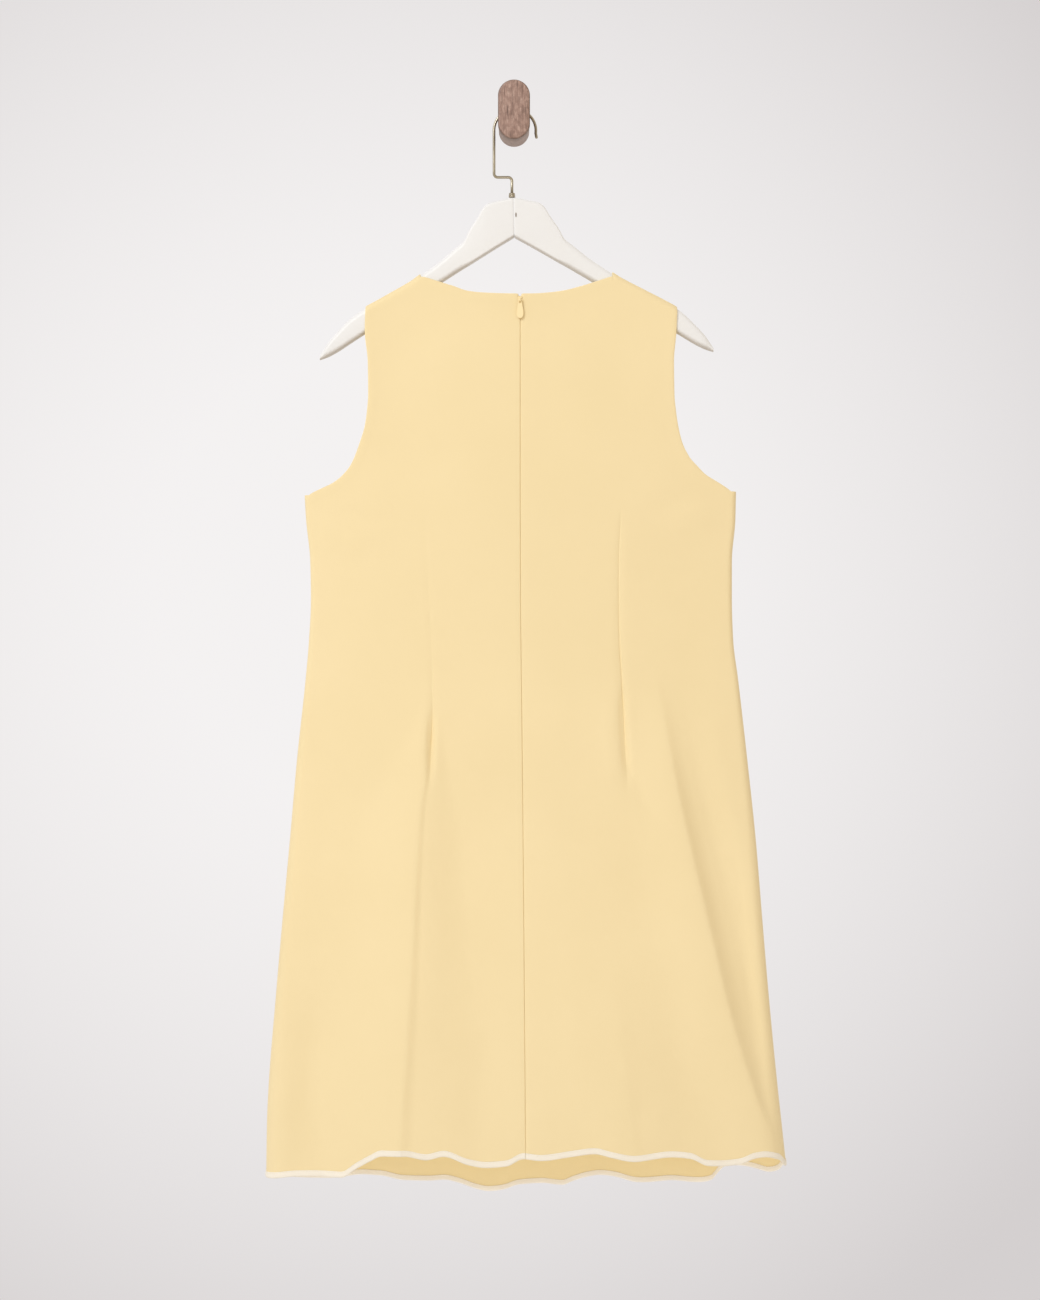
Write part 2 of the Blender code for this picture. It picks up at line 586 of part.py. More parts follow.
def binding(name, panel, material):
    """A strip folded round the hem, made from the panel's own edge points."""
    low, high = panel.body_ids[0], panel.body_ids[1]
    near, far = HALF + SEAM_GAP, HALF + SEAM_GAP + BINDING_THICK
    under = SEAM_GAP + BINDING_THICK
    rings = []
    for a, b in zip(low, high):
        way = panel.points[b] - panel.points[a]
        length = np.linalg.norm(way)

        def at(out, up):
            share = up / length
            normal = panel.normals[a] * (1 - share) + panel.normals[b] * share
            return panel.points[a] + way * share + normal / np.linalg.norm(normal) * out

        outside, inside = BINDING_WIDTH - under, BINDING_INSIDE - under
        rings.append([at(far, outside), at(far, -under), at(-far, -under), at(-far, inside),
                      at(-near, inside), at(-near, -SEAM_GAP), at(near, -SEAM_GAP),
                      at(near, outside)])
    return loft(name, rings, material)


def zip_tape(name, panel, edge, inner, material):
    """A tape inside the back, beside the centre seam, from the neckline to the zip's end."""
    ids = [(e, i) for e, i in zip(panel.body_ids[:-1, edge], panel.body_ids[:-1, inner])]
    ids += [(e, i) for e, i in zip(panel.yoke_ids[:, edge], panel.yoke_ids[:, inner])]
    ids = ids[::-1]
    near, far = HALF + SEAM_GAP, HALF + SEAM_GAP + TAPE_THICK
    lines = []
    for e, i in ids:
        way = panel.points[i] - panel.points[e]
        lines.append((panel.points[e], way / np.linalg.norm(way),
                      panel.normals[e], panel.normals[i], np.linalg.norm(way)))
    rings = []
    for k, (start, way, normal_e, normal_i, length) in enumerate(lines):
        share = 1.0
        if start[2] < ZIP_END_Z:
            above = lines[k - 1][0][2]
            share = (above - ZIP_END_Z) / (above - start[2])
        ring = []
        for across, out in ((0.35, near), (TAPE_WIDTH, near), (TAPE_WIDTH, far), (0.35, far)):
            normal = normal_e + (normal_i - normal_e) * across / length
            point = start + way * across - normal * out
            if share < 1:
                upper = lines[k - 1]
                up_normal = upper[2] + (upper[3] - upper[2]) * across / upper[4]
                high = upper[0] + upper[1] * across - up_normal * out
                point = high + (point - high) * share
            ring.append(point)
        rings.append(ring)
        if share < 1:
            break
    return loft(name, rings, material)


# ---------------------------------------------------------------- zip slider and pull tab

def box_ring(half, y, low, high):
    """Four corners of a flat rectangle that faces the room."""
    return [(SLIDER_X - half, y, low), (SLIDER_X + half, y, low),
            (SLIDER_X + half, y, high), (SLIDER_X - half, y, high)]


def boolean(thing, tool, operation):
    """Joins or cuts with a second shape, which isn't a piece of its own."""
    tool.hide_render = True
    tool.display_type = "WIRE"
    modifier = thing.modifiers.new(tool.name, "BOOLEAN")
    modifier.operation = operation
    modifier.object = tool


def make_slider(material):
    """Inner body, neck through the zip's V and outer plate, with the arch for the tab."""
    body = loft("zip_slider", [
        box_ring(half, y, SLIDER_Z - below, SLIDER_Z + above)
        for y, half, below, above in zip(*SLIDER_SECTIONS.values())], material, False)
    plate_front = SLIDER_SECTIONS["y"][-1]
    foot = plate_front + 0.2      # sunk into the plate, to be joined with it
    front, hollow = SLIDER_Y - ARCH_HALF, SLIDER_Y - ARCH_HALF + 1.0
    outer, inner = ARCH_HALF, ARCH_HALF - ARCH_THICK
    outline = [(foot, -outer), (front + ARCH_BEVEL, -outer), (front, -outer + ARCH_BEVEL),
               (front, outer - ARCH_BEVEL), (front + ARCH_BEVEL, outer), (foot, outer),
               (foot, inner), (hollow, inner), (hollow, -inner), (foot, -inner)]
    arch = loft("slider_arch", [
        [(SLIDER_X + side, y, SLIDER_Z + z) for y, z in outline]
        for side in (-ARCH_WIDE / 2, ARCH_WIDE / 2)], material, False)
    boolean(body, arch, "UNION")


def make_pull_tab(material):
    """A drop-shaped tab with a window; its top bar runs through the slider's arch."""
    right = list(zip(TAB_OUTLINE["half"], -TAB_OUTLINE["down"]))
    outline = right + [(-half, z) for half, z in reversed(right)]
    sides = (SLIDER_Y - TAB_THICK / 2, SLIDER_Y + TAB_THICK / 2)
    tab = loft("zip_pull_tab", [
        [(SLIDER_X + x, y, SLIDER_Z + z) for x, z in outline] for y in sides], material, False)
    beyond = (sides[0] - 1, sides[1] + 1)
    window = loft("tab_window", [
        box_ring(TAB_WINDOW, y, SLIDER_Z - TAB_WINDOW_LOW, SLIDER_Z - TAB_WINDOW_TOP)
        for y in beyond], material, False)
    boolean(tab, window, "DIFFERENCE")


# ---------------------------------------------------------------- hanger and peg

def arm_ring(side, x):
    """Section of one arm at a distance from the middle, with rounded edges. The arm's end is
    thinner, and rounder."""
    high, low = float(smooth(BOARD_TOP, "z", x)), float(smooth(BOARD_BOTTOM, "z", x))
    rounding = HEAD_ROUNDING + (ARM_ROUNDING - HEAD_ROUNDING) * float(ease((x - 42) / 20))
    rise = min(rounding * 1.15, (high - low) / 2 - 0.2)
    thick = BOARD / 2 - 2.0 * float(ease((x - 200) / 10))
    across = min(rounding, thick - 0.4)
    turns = np.radians([0, 30, 60, 90])
    ring = []
    for sign_y, sign_z, order in ((1, 1, 1), (-1, 1, -1), (-1, -1, 1), (1, -1, -1)):
        for turn in turns[::order]:
            y = HANG_Y + sign_y * (thick - across * (1 - math.cos(turn)))
            inset = rise * (1 - math.sin(turn))
            world_x, world_z = tilt(side * x, high - inset if sign_z > 0 else low + inset)
            ring.append((world_x, y, world_z))
    return ring


def make_arm(name, side, material):
    loft(name, [arm_ring(side, x) for x in ARM_STATIONS], material)


def bend(points, start, middle, end, radius, steps=5):
    """Adds a round corner at `middle` to a path."""
    a = np.array(start, float) - middle
    b = np.array(end, float) - middle
    a, b = a / np.linalg.norm(a), b / np.linalg.norm(b)
    half = math.acos(np.dot(a, b)) / 2
    centre = middle + (a + b) / np.linalg.norm(a + b) * radius / math.sin(half)
    first = middle + a * radius / math.tan(half)
    last = middle + b * radius / math.tan(half)
    for k in range(steps + 1):
        way = (first - centre) * (1 - k / steps) + (last - centre) * k / steps
        points.append(centre + way / np.linalg.norm(way) * radius)


def make_hook(material):
    """Collar, square bend and open round hook, all in the hanger's plane."""
    foot = np.array([HOOK_STEM_X, HOOK_FOOT_Z])
    square = np.array([HOOK_STEM_X, HOOK_BEND_Z])
    corner = np.array([HOOK_RISE_X, HOOK_BEND_Z])
    centre = np.array([HOOK_CENTRE_X, HOOK_CENTRE_Z])
    path = [foot, foot + (0, 4.6), foot + (0, 5.2)]
    radii = [3.6, 3.2, WIRE / 2]          # of the collar, which tapers to the wire
    bend(path, foot, square, corner, HOOK_BEND_RADIUS)
    bend(path, square, corner, centre - (HOOK_RADIUS, 0), HOOK_BEND_RADIUS)
    for turn in math.pi - np.linspace(0, HOOK_TURN, 15):
        path.append(centre + HOOK_RADIUS * np.array([math.cos(turn), math.sin(turn)]))
    path.append(path[-1] + (1.0, -6.0))
    radii += [WIRE / 2] * (len(path) - len(radii))
    rings = []
    for k, (point, radius) in enumerate(zip(path, radii)):
        way = path[min(k + 1, len(path) - 1)] - path[max(k - 1, 0)]
        out = np.array([way[1], -way[0]]) / np.linalg.norm(way)
        ring = []
        for turn in np.arange(HOOK_SIDES) * 2 * math.pi / HOOK_SIDES:
            x, z = point + out * radius * math.cos(turn)
            ring.append((x, HANG_Y + radius * math.sin(turn), z))
        rings.append(ring)
    loft("hanger_hook", rings, material)


def make_peg(material):
    """Round stem against the wall, with a tall flat plate on its end."""
    sides = 36

    def ring(y, radius, rise):
        points = []
        for k in range(sides):
            turn = 2 * math.pi * (k + 0.5) / sides
            lift = rise if math.sin(turn) > 0 else 0.0
            points.append((radius * math.cos(turn), y, lift + radius * math.sin(turn)))
        return points

    face = -STEM_LENGTH - PLATE_THICK
    loft("wall_peg", [
        ring(0.0, STEM_RADIUS, 0), ring(-STEM_LENGTH, STEM_RADIUS, 0),
        ring(-STEM_LENGTH, PLATE_RADIUS - 0.6, PLATE_RISE),
        ring(-STEM_LENGTH - 0.8, PLATE_RADIUS, PLATE_RISE),
        ring(face + 2.0, PLATE_RADIUS, PLATE_RISE),
        ring(face + 0.6, PLATE_RADIUS - 0.6, PLATE_RISE),
        ring(face, PLATE_RADIUS - 2.2, PLATE_RISE)], material)


# ---------------------------------------------------------------- all of it

def main():
    for thing in list(bpy.data.objects):
        bpy.data.objects.remove(thing, do_unlink=True)
    cloth = surface_material("butter_crepe", (0.93, 0.76, 0.42), 0.85)
    cream = surface_material("cream_binding", (0.90, 0.84, 0.73), 0.8)
    tape = surface_material("zip_tape", (0.90, 0.76, 0.46), 0.85)
    zip_part = surface_material("zip_enamel", (0.88, 0.76, 0.50), 0.4)
    white = surface_material("white_paint", (0.83, 0.82, 0.80), 0.4)
    brass = surface_material("brass", (0.72, 0.52, 0.24), 0.3, 1.0)
    walnut = surface_material("walnut", (0.20, 0.12, 0.09), 0.5)

    left, right, front = make_panels()
    joined_normals([left, right, front])
    part_seams(left, right, front)
    wall_mesh("back_left_panel", left, cloth)
    wall_mesh("back_right_panel", right, cloth)
    wall_mesh("front_panel", front, cloth)
    binding("hem_binding_back_left", left, cream)
    binding("hem_binding_back_right", right, cream)
    binding("hem_binding_front", front, cream)
    zip_tape("zip_tape_left", left, -1, -2, tape)
    zip_tape("zip_tape_right", right, 0, 1, tape)
    make_slider(zip_part)
    make_pull_tab(zip_part)
    make_arm("hanger_arm_left", -1, white)
    make_arm("hanger_arm_right", 1, white)
    make_hook(brass)
    make_peg(walnut)


main()
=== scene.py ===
"""Looks of the sleeveless A-line dress on its hanger and wall peg.

The cloth is built again on the form of its solids, at a finer step and with its smaller creases.
Sizes are in millimetres in the frame of the solids, and meshes are written in metres.
"""
import json
import math

import bmesh
import bpy
import numpy as np
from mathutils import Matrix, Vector
from mathutils.kdtree import KDTree

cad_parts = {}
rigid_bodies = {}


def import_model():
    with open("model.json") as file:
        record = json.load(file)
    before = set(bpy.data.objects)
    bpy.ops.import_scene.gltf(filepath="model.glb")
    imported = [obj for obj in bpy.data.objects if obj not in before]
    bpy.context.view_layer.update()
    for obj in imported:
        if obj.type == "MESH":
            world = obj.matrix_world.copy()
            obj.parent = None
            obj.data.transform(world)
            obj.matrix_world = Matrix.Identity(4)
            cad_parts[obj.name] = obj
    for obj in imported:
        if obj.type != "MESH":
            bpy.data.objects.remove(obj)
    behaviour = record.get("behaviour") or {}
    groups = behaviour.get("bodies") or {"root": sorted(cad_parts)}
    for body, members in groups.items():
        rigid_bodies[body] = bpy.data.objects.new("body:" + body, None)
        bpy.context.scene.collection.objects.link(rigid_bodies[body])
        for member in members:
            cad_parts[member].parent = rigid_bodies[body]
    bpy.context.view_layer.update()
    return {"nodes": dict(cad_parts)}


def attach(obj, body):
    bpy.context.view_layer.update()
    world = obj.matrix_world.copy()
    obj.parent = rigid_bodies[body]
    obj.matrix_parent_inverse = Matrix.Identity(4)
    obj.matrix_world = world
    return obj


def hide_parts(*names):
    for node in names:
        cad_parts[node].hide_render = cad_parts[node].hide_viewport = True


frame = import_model()

MM = 0.001                     # metres in a millimetre
QUARTER = math.pi / 2          # a quarter turn

# ------------------------ sizes

CLOTH = 0.45                   # half thickness of the cloth
EDGE_CLOTH = 0.68              # half thickness where an edge is turned in and faced
FACING_WIDTH, FACING_STEP = 8.0, 6.0
RIM = ((0.65, 0.62), (0.95, 0.0), (0.65, -0.62))   # round section of an edge, in half thicknesses
SEAM_RADIUS = 0.65             # of the cloth's middle line where it turns in at a seam
SEAM_SPACE = 0.06              # between the two turned edges
SEAM_DEEP = 0.7                # how far they run in
SEAM_LEAN = 0.01               # and how far they close up on the way
SUNK_LEAST = 0.02              # share of the turn that is left at the hem
TURN = 6                       # columns of a turned edge
SIDE_DROP, CENTRE_DROP, TOP_DROP = 3, 2, 3     # columns and rows that it replaces
HEM_FLAT, HEM_RUN = 7.0, 4.0   # the seams lie flat this near the hem, and turn in over this run
HEM_ROWS = 6                   # rows of cloth that a binding follows

HANG_Y = -26.0
BOARD = 12.0
BOARD_TILT = math.radians(1.2)
BOARD_PIVOT_Z = -110.0
HEAD_ROUNDING, ARM_ROUNDING = 3.0, 5.5
ROUNDING_TALL = 1.15           # the rounding is taller than it is deep
FLAT_TALL, FLAT_DEEP = 0.2, 0.4            # least flat half left between two roundings
CORNER_STEPS = 9
HEAD_END, HEAD_RUN = 42.0, 20.0            # where the arm's rounder part starts
TIP_START, TIP_RUN, TIP_THIN = 200.0, 10.0, 2.0
JOINT_GAP = 0.3
JOINT_EASE = (0.94, 0.985)                 # sizes of the first two sections beside the joint
ARM_STATIONS = [JOINT_GAP / 2, 0.35, 0.8, *np.arange(3.0, 204.0, 2.2),
                205.0, 206.5, 208.0, 209.0, 209.8, 210.3]
NOTCH_X, NOTCH_Z = 2.1, -95.4
NOTCH_HALF = (0.75, 2.6)
NOTCH_RINGS = ((-0.6, 1.0), (0.03, 1.0), (0.06, 0.8))  # way out of the wood and size
WRAP = 7.3                     # radius of the cloth's middle line over the hanger
CREST_WAY = WRAP * QUARTER     # along the cloth from the ridge to where it hangs straight
CREST_LIFT = 1.3               # from the wood to that line
CREST_REACH = np.linspace(85.0, 205.0, 61)
CREST_OVERLAP = 8.0            # how far the ridge line runs on past the neck's corners
OVER_ROWS = 24
WOOD_CLEAR, WOOD_FADE = 14.0, 40.0         # creases fade in this far below the ridge
STEM_RADIUS, STEM_LENGTH, STEM_EDGE = 16.4, 36.0, 0.4
PLATE_RADIUS, PLATE_THICK, PLATE_RISE = 17.0, 10.0, 29.2
PLATE_BACK_EDGE, PLATE_FACE_EDGE = 0.8, 2.4
PEG_SIDES = 96
WIRE = 3.0
WIRE_SIDES = 24
COLLAR = ((0.0, 3.1), (0.25, 3.55), (1.0, 3.6), (1.25, 3.25), (1.6, 3.2), (1.85, 3.5),
          (2.6, 3.5), (2.85, 3.15), (3.2, 3.1), (3.45, 3.35), (4.1, 3.3), (4.7, 2.9),
          (5.0, 2.1), (5.2, WIRE / 2))     # rise and radius
HOOK_FOOT_Z, HOOK_BEND_Z = -75.9, -54.3
HOOK_STEM_X, HOOK_RISE_X = -2.2, -21.3
HOOK_BEND_RADIUS, HOOK_BEND_STEPS = 4.0, 12
HOOK_RADIUS = 22.4
HOOK_CENTRE_X, HOOK_CENTRE_Z = 1.0, -4.2
HOOK_TURN, HOOK_STEPS = math.radians(187), 49
HOOK_END = np.array([0.8, -4.8])           # straight end of the wire
HOOK_TIP = ((0.5, 0.92), (0.9, 0.7), (1.15, 0.35))      # way out and share of the radius

TIP_LEFT, TIP_RIGHT = -158.0, 173.6
NECK_LEFT, NECK_RIGHT = -100.5, 105.5
UNDERARM_LEFT, UNDERARM_RIGHT = -395.0, -391.0
SHOULDER_SHIFT = 0.5           # of the centre seam's top to the left
SEAM_DROP = 5.0                # from the ridge to the shoulder seam, at the back
FRONT_NECK_DROP, FRONT_NECK_POWER = 84.0, 2.4
ZIP_TOP_OPEN, ZIP_OPEN_RUN = 1.6, 20.0
ZIP_END_Z = -720.0
TAPE_WIDTH = 9.5
TAPE = ((0.4, 0.87), (2.4, 0.85), (5.0, 0.87), (8.0, 0.91), (TAPE_WIDTH, 0.97),
        (TAPE_WIDTH + 0.1, 1.25), (8.0, 1.27), (5.0, 1.25), (2.4, 1.3), (0.4, 1.35))
COIL_TOP_Z = -192.4            # just below the slider
COIL_PITCH = 1.4
COIL_X, COIL_Y = 0.35, 2.85    # from the seam, and inwards from the cloth
COIL_HALF = (1.15, 0.7, 0.5)
COIL_RINGS, COIL_SIDES = 5, 6


def table(columns, rows):
    """A short table with named columns, sorted by its first one."""
    names = columns.split()
    rows = sorted(rows)
    return {name: np.array([row[i] for row in rows], float) for i, name in enumerate(names)}


def smooth(tab, column, at):
    """A column read along the table's first one, by cubic pieces that never overshoot. Beyond
    the table's ends its last values hold."""
    xs, ys = next(iter(tab.values())), tab[column]
    step = np.diff(xs)
    slope = np.diff(ys) / step
    tangent = np.empty_like(ys)
    tangent[0], tangent[-1] = slope[0], slope[-1]
    product = slope[1:] * slope[:-1]
    total = np.where(product > 0, slope[1:] + slope[:-1], 1.0)
    tangent[1:-1] = np.where(product > 0, 2 * product / total, 0.0)
    at = np.clip(np.asarray(at, float), xs[0], xs[-1])
    i = np.clip(np.searchsorted(xs, at, side="right") - 1, 0, len(xs) - 2)
    t = (at - xs[i]) / step[i]
    return ((1 + 2 * t) * (1 - t) ** 2 * ys[i] + t * (1 - t) ** 2 * step[i] * tangent[i]
            + t * t * (3 - 2 * t) * ys[i + 1] + t * t * (t - 1) * step[i] * tangent[i + 1])


def ease(t):
    """0 to 1 with level ends."""
    t = np.clip(t, 0.0, 1.0)
    return t * t * (3 - 2 * t)


def uneven_wave(along, run, wander, wander_run):
    """A wave along a line, whose length wanders a little."""
    return np.sin(along / run + wander * np.sin(along / wander_run))


# ------------------------ lines of the dress

OUTLINE = table("z left centre right", [
    (-391, -224, 6.8, 237.3), (-421, -222.2, 6.9, 236.6), (-464, -217.8, 7, 232.9),
    (-506, -217, 7.1, 232.8), (-549, -219, 7.5, 234.2), (-592, -222.7, 8, 239.5),
    (-677, -231.7, 9, 249.1), (-763, -239.2, 9.8, 258.1), (-848, -247, 10.5, 265),
    (-934, -254.4, 11.2, 272.2), (-1019, -261.2, 11.9, 280.4), (-1062, -263.2, 12.2, 285),
    (-1122, -264, 12.6, 291.4)])
DEPTH = table("z seam fold back front", [
    (-160, -26, WRAP, 0, 0), (-200, -26, WRAP, 0, 0), (-262, -26, WRAP, 3, 1.5),
    (-320, -26, 6.4, 7, 3.5), (-400, -26, 4.8, 12, 7), (-506, -27, 5, 10, 7),
    (-592, -28, 6, 11, 8), (-677, -29.5, 8, 14, 9), (-848, -31.5, 10.5, 19, 11),
    (-1019, -33.5, 13, 23, 13), (-1122, -35, 14.5, 26, 14)])
ARMHOLE_LEFT = table("z x", [
    (-395, -219.4), (-391.8, -214.5), (-389, -208.7), (-380.4, -191), (-372, -181),
    (-363.4, -174.1), (-354.8, -169.8), (-338, -163.6), (-320.7, -158.4), (-303.6, -156),
    (-286.5, -154.8), (-252, -155.3), (-218, -158.6), (-195, TIP_LEFT)])
ARMHOLE_RIGHT = table("z x", [
    (-391, 231.9), (-386, 225.5), (-380.4, 216.6), (-372, 203.2), (-363.4, 194.8),
    (-354.8, 187), (-338, 178.6), (-320.7, 174.4), (-303.6, 171.9), (-286.5, 170.4),
    (-252, 170), (-218, 172.8), (-195, TIP_RIGHT)])
BACK_NECK = table("x z", [
    (NECK_LEFT, -161.5), (-91.7, -163.5), (-83, -166.3), (-66, -171.5), (-49, -177.2),
    (-32, -179), (0, -180), (19, -180), (36, -179), (53, -176.8), (70, -172.5),
    (87, -167.3), (NECK_RIGHT, -161.3)])
BACK_HEM = table("x z", [
    (-263, -1119.3), (-228, -1115.5), (-182, -1115.2), (-167, -1105.5), (-150, -1095.4),
    (-139, -1090.3), (-116, -1090), (-92, -1094), (-74, -1090.6), (-48, -1099.8),
    (-30, -1103), (-8, -1101.5), (10, -1093.8), (28, -1095.6), (61, -1091.3), (86, -1088.2),
    (103, -1092), (128, -1096.4), (165, -1092.8), (187, -1095.1), (205, -1102.9),
    (220, -1103.5), (239, -1101.8), (256, -1095.8), (266, -1094.6), (281, -1098.4),
    (288, -1107)])
FRONT_HEM = table("x z", [
    (-263, -1119.3), (-229, -1124.2), (-198, -1125.2), (-161, -1120.4), (-144, -1121.9),
    (-118, -1128.6), (-92, -1130), (-75, -1129), (-58, -1132.4), (-41, -1137.8),
    (-28, -1140), (-14, -1138.6), (6, -1133.4), (28, -1132.6), (52, -1134.9), (62, -1130.9),
    (80, -1125.4), (92, -1123.7), (106, -1124.8), (132, -1130), (165, -1127.3),
    (198, -1130.3), (210, -1128.6), (219, -1118.9), (226, -1113.2), (242, -1111.8),
    (258, -1114.4), (272, -1118), (282, -1115.3), (288, -1107)])


def fold(rows, first=0.6, until=0.7, second=0.3):
    """A long fold, as in the solids, with the way its right side falls: `first` is the share
    that falls by `until`, and the rest falls from `second` on."""
    shape = table("z crest left right height trough", rows)
    return shape | {"first": first, "until": until, "second": second}


BACK_FOLDS = [
    fold([(-1140, -120, 75, 122, 9, 0.40), (-1040, -116, 75, 101, 9.2, 0.40),
          (-997, -113, 75, 88, 9, 0.40), (-912, -108, 75, 70, 8.2, 0.40),
          (-826, -104, 75, 55, 7.2, 0.35), (-741, -99, 70, 43, 6, 0.30),
          (-690, -92.5, 50, 25, 4.6, 0.25), (-655, -89, 30, 15, 3, 0.1),
          (-622, -87, 20, 10, 0.8, 0), (-600, -87, 20, 10, 0, 0)], 0.26, 0.14, 0),
    fold([(-1140, 282, 60, 14, 3, 0), (-1072, 273, 70, 16, 5, 0.1),
          (-1040, 259, 75, 20, 6.5, 0.3), (-997, 245, 80, 26, 7.5, 0.45),
          (-955, 232, 80, 29, 8, 0.5), (-869, 211, 75, 29, 8, 0.55),
          (-784, 191, 65, 29, 7, 0.6), (-699, 172, 50, 26, 4.8, 0.6),
          (-613, 157, 30, 24, 1.4, 0.5), (-580, 150, 25, 20, 0, 0)], 0.7, 0.6, 0.2),
    fold([(-1140, -177, 36, 40, 1, 0), (-1040, -175, 36, 40, 0.6, 0),
          (-930, -170, 36, 40, 0, 0)]),
    fold([(-1140, 132, 70, 60, 4, 0.3), (-1000, 118, 70, 60, 3, 0.3),
          (-860, 100, 70, 60, 0, 0.3)])]
FRONT_FOLDS = [
    fold([(-1140, -150, 60, 55, 9, 0.2), (-900, -138, 55, 45, 5.5, 0.2),
          (-700, -126, 45, 40, 0, 0.2)]),
    fold([(-1140, -8, 70, 50, 7, 0.2), (-950, 4, 60, 45, 5, 0.2),
          (-760, 12, 45, 40, 0, 0.2)]),
    fold([(-1140, 158, 60, 60, 9, 0.2), (-880, 148, 55, 50, 5.5, 0.2),
          (-660, 132, 45, 40, 0, 0.2)])]
DART_COLUMNS = (0.291, 0.737)
DART_HALF_WIDTH = 6.5
DART_CREASE = table("z left right", [
    (-712, 0, 0), (-684, 1.8, 1.6), (-655, 2.6, 2.1), (-628, 1.2, 1.7), (-592, 0.35, 1.1),
    (-520, 0.25, 0.7), (-440, 0.2, 0.45), (-405, 0, 0)])
DART_LEAN, DART_LEAN_Z, DART_LEAN_RUN = 8.0, -640.0, 200.0     # the left dart leans left above
DART_SEAM = table("z left right", [        # depth of the sewn line of each dart
    (-668, 0, 0), (-650, 0.25, 0.5), (-600, 0.3, 0.8), (-500, 0.22, 0.6),
    (-425, 0.15, 0.35), (-410, 0, 0)])
DART_SEAM_HALF = 1.1
FOLD_FADE = 24.0               # from the side folds to where folds and creases are full
FOLD_POWER = 2.2               # how sharply a fold falls from its crest
TROUGH_RUN = 1.2               # run of the trough beside a fold, in widths of its right side
CREASE_BOW, CREASE_FADE = 0.6, 0.35        # in half widths, and in lengths
DRIFT_WAVES = (                # height of each pair of waves, and their runs across and up
    (0.22, (31.0, 83.0, 1.0), (-140.0, 57.0, 2.1)),
    (0.132, (17.0, -39.0, 1.7), (math.inf, 71.0, 1.0)),
    (0.077, (9.0, 21.0, 1.0), (-35.0, 26.0, 0.0)))
BACK_SEED, FRONT_SEED = 0.4, 2.3           # of the drift
PUCKER_HEIGHT, PUCKER_HALF, PUCKER_TOP_Z, PUCKER_RUN = 0.10, 7.0, -185.0, 25.0
PUCKER_WAVE, PUCKER_SWELL = (3.6, 1.3, 23.0), 61.0     # along the seam
HEM_LINE_Z = -1105.0           # where the hem's columns are spaced
YOKE_POWER = 1.25              # rows are closer near the underarm line

# Smaller creases: a soft ridge (height above 0) or trough from one end to the other.
CREASES = "x_top z_top x_low z_low half height"
BACK_CREASES = table(CREASES, [
    (-213, -418, -150, -452, 15, 0.9), (-196, -404, -120, -424, 9, -0.5),
    (225, -410, 160, -446, 15, 0.9), (205, -398, 138, -418, 10, -0.5),
    (-84, -612, -88, -700, 4.5, -2.2), (116, -590, 119, -684, 4, -1.5),
    (118, -655, 127, -700, 4.5, -1.5), (123, -676, 160, -752, 9, -1.2),
    (103, -600, 112, -720, 9, 1), (46, -560, 52, -900, 26, 0.9),
    (-40, -700, -34, -980, 24, -0.9), (-205, -640, -232, -930, 18, 0.8),
    (-200, -880, -192, -1190, 24, -6), (-244, -940, -246, -1170, 14, 1.6),
    (168, -860, 214, -1090, 20, -0.9), (136, -1010, 148, -1130, 22, -1.6),
    (70, -820, 84, -1084, 22, 0.8), (-20, -930, -34, -1150, 18, -1.4),
    (-120, -200, -112, -330, 20, -0.6), (128, -196, 122, -320, 22, -0.6),
    (-60, -205, -48, -300, 24, 0.4), (64, -200, 58, -290, 26, 0.4),
    (-225, -980, -240, -1110, 12, 0.8)])
FRONT_CREASES = table(CREASES, [
    (-205, -405, -140, -446, 15, 0.9), (220, -398, 150, -440, 15, 0.9),
    (-188, -396, -118, -420, 10, -0.5), (200, -386, 132, -410, 10, -0.5),
    (-120, -520, -132, -760, 22, 0.9), (60, -500, 72, -800, 24, -0.9),
    (-30, -640, -26, -900, 20, 0.9), (150, -600, 172, -860, 20, 0.8),
    (-215, -760, -236, -1060, 18, -0.8), (200, -800, 228, -1080, 20, 0.9),
    (90, -900, 96, -1110, 22, -0.8), (-80, -880, -90, -1110, 18, 0.9),
    (-122, -205, -116, -320, 18, -0.5), (130, -200, 124, -315, 18, -0.5)])

BACK_COLUMNS = table("index body top", [
    (0, 0, 0), (6, 0.171, 0.175), (7, 0.192, 0.1785), (8, 0.213, 0.184), (9, 0.234, 0.194),
    (10, 0.255, 0.21), (11, 0.276, 0.233), (12, DART_COLUMNS[0], 0.26), (13, 0.306, 0.29),
    (21, 0.5, 0.5), (29, 0.722, 0.68), (30, DART_COLUMNS[1], 0.705), (31, 0.752, 0.73),
    (32, 0.774, 0.752), (33, 0.795, 0.77), (34, 0.817, 0.784), (35, 0.838, 0.7925),
    (36, 0.86, 0.7965), (42, 1, 1)])
BACK_NECK_INDEX = (7, 36)      # where the neckline meets the shoulder seams
BACK_CENTRE_INDEX = 21
BACK_DENSE = (12, 30)          # finer steps beside the darts
FRONT_COLUMNS = table("index body top", [
    (0, 0, 0), (6, 0.152, 0.175), (7, 0.192, 0.1802), (8, 0.232, 0.191), (9, 0.273, 0.21),
    (10, 0.314, 0.245), (22, 0.686, 0.735), (23, 0.717, 0.765), (24, 0.748, 0.784),
    (25, 0.784, 0.7925), (26, 0.82, 0.7965), (32, 1, 1)])
FRONT_NECK_INDEX = (6, 26)

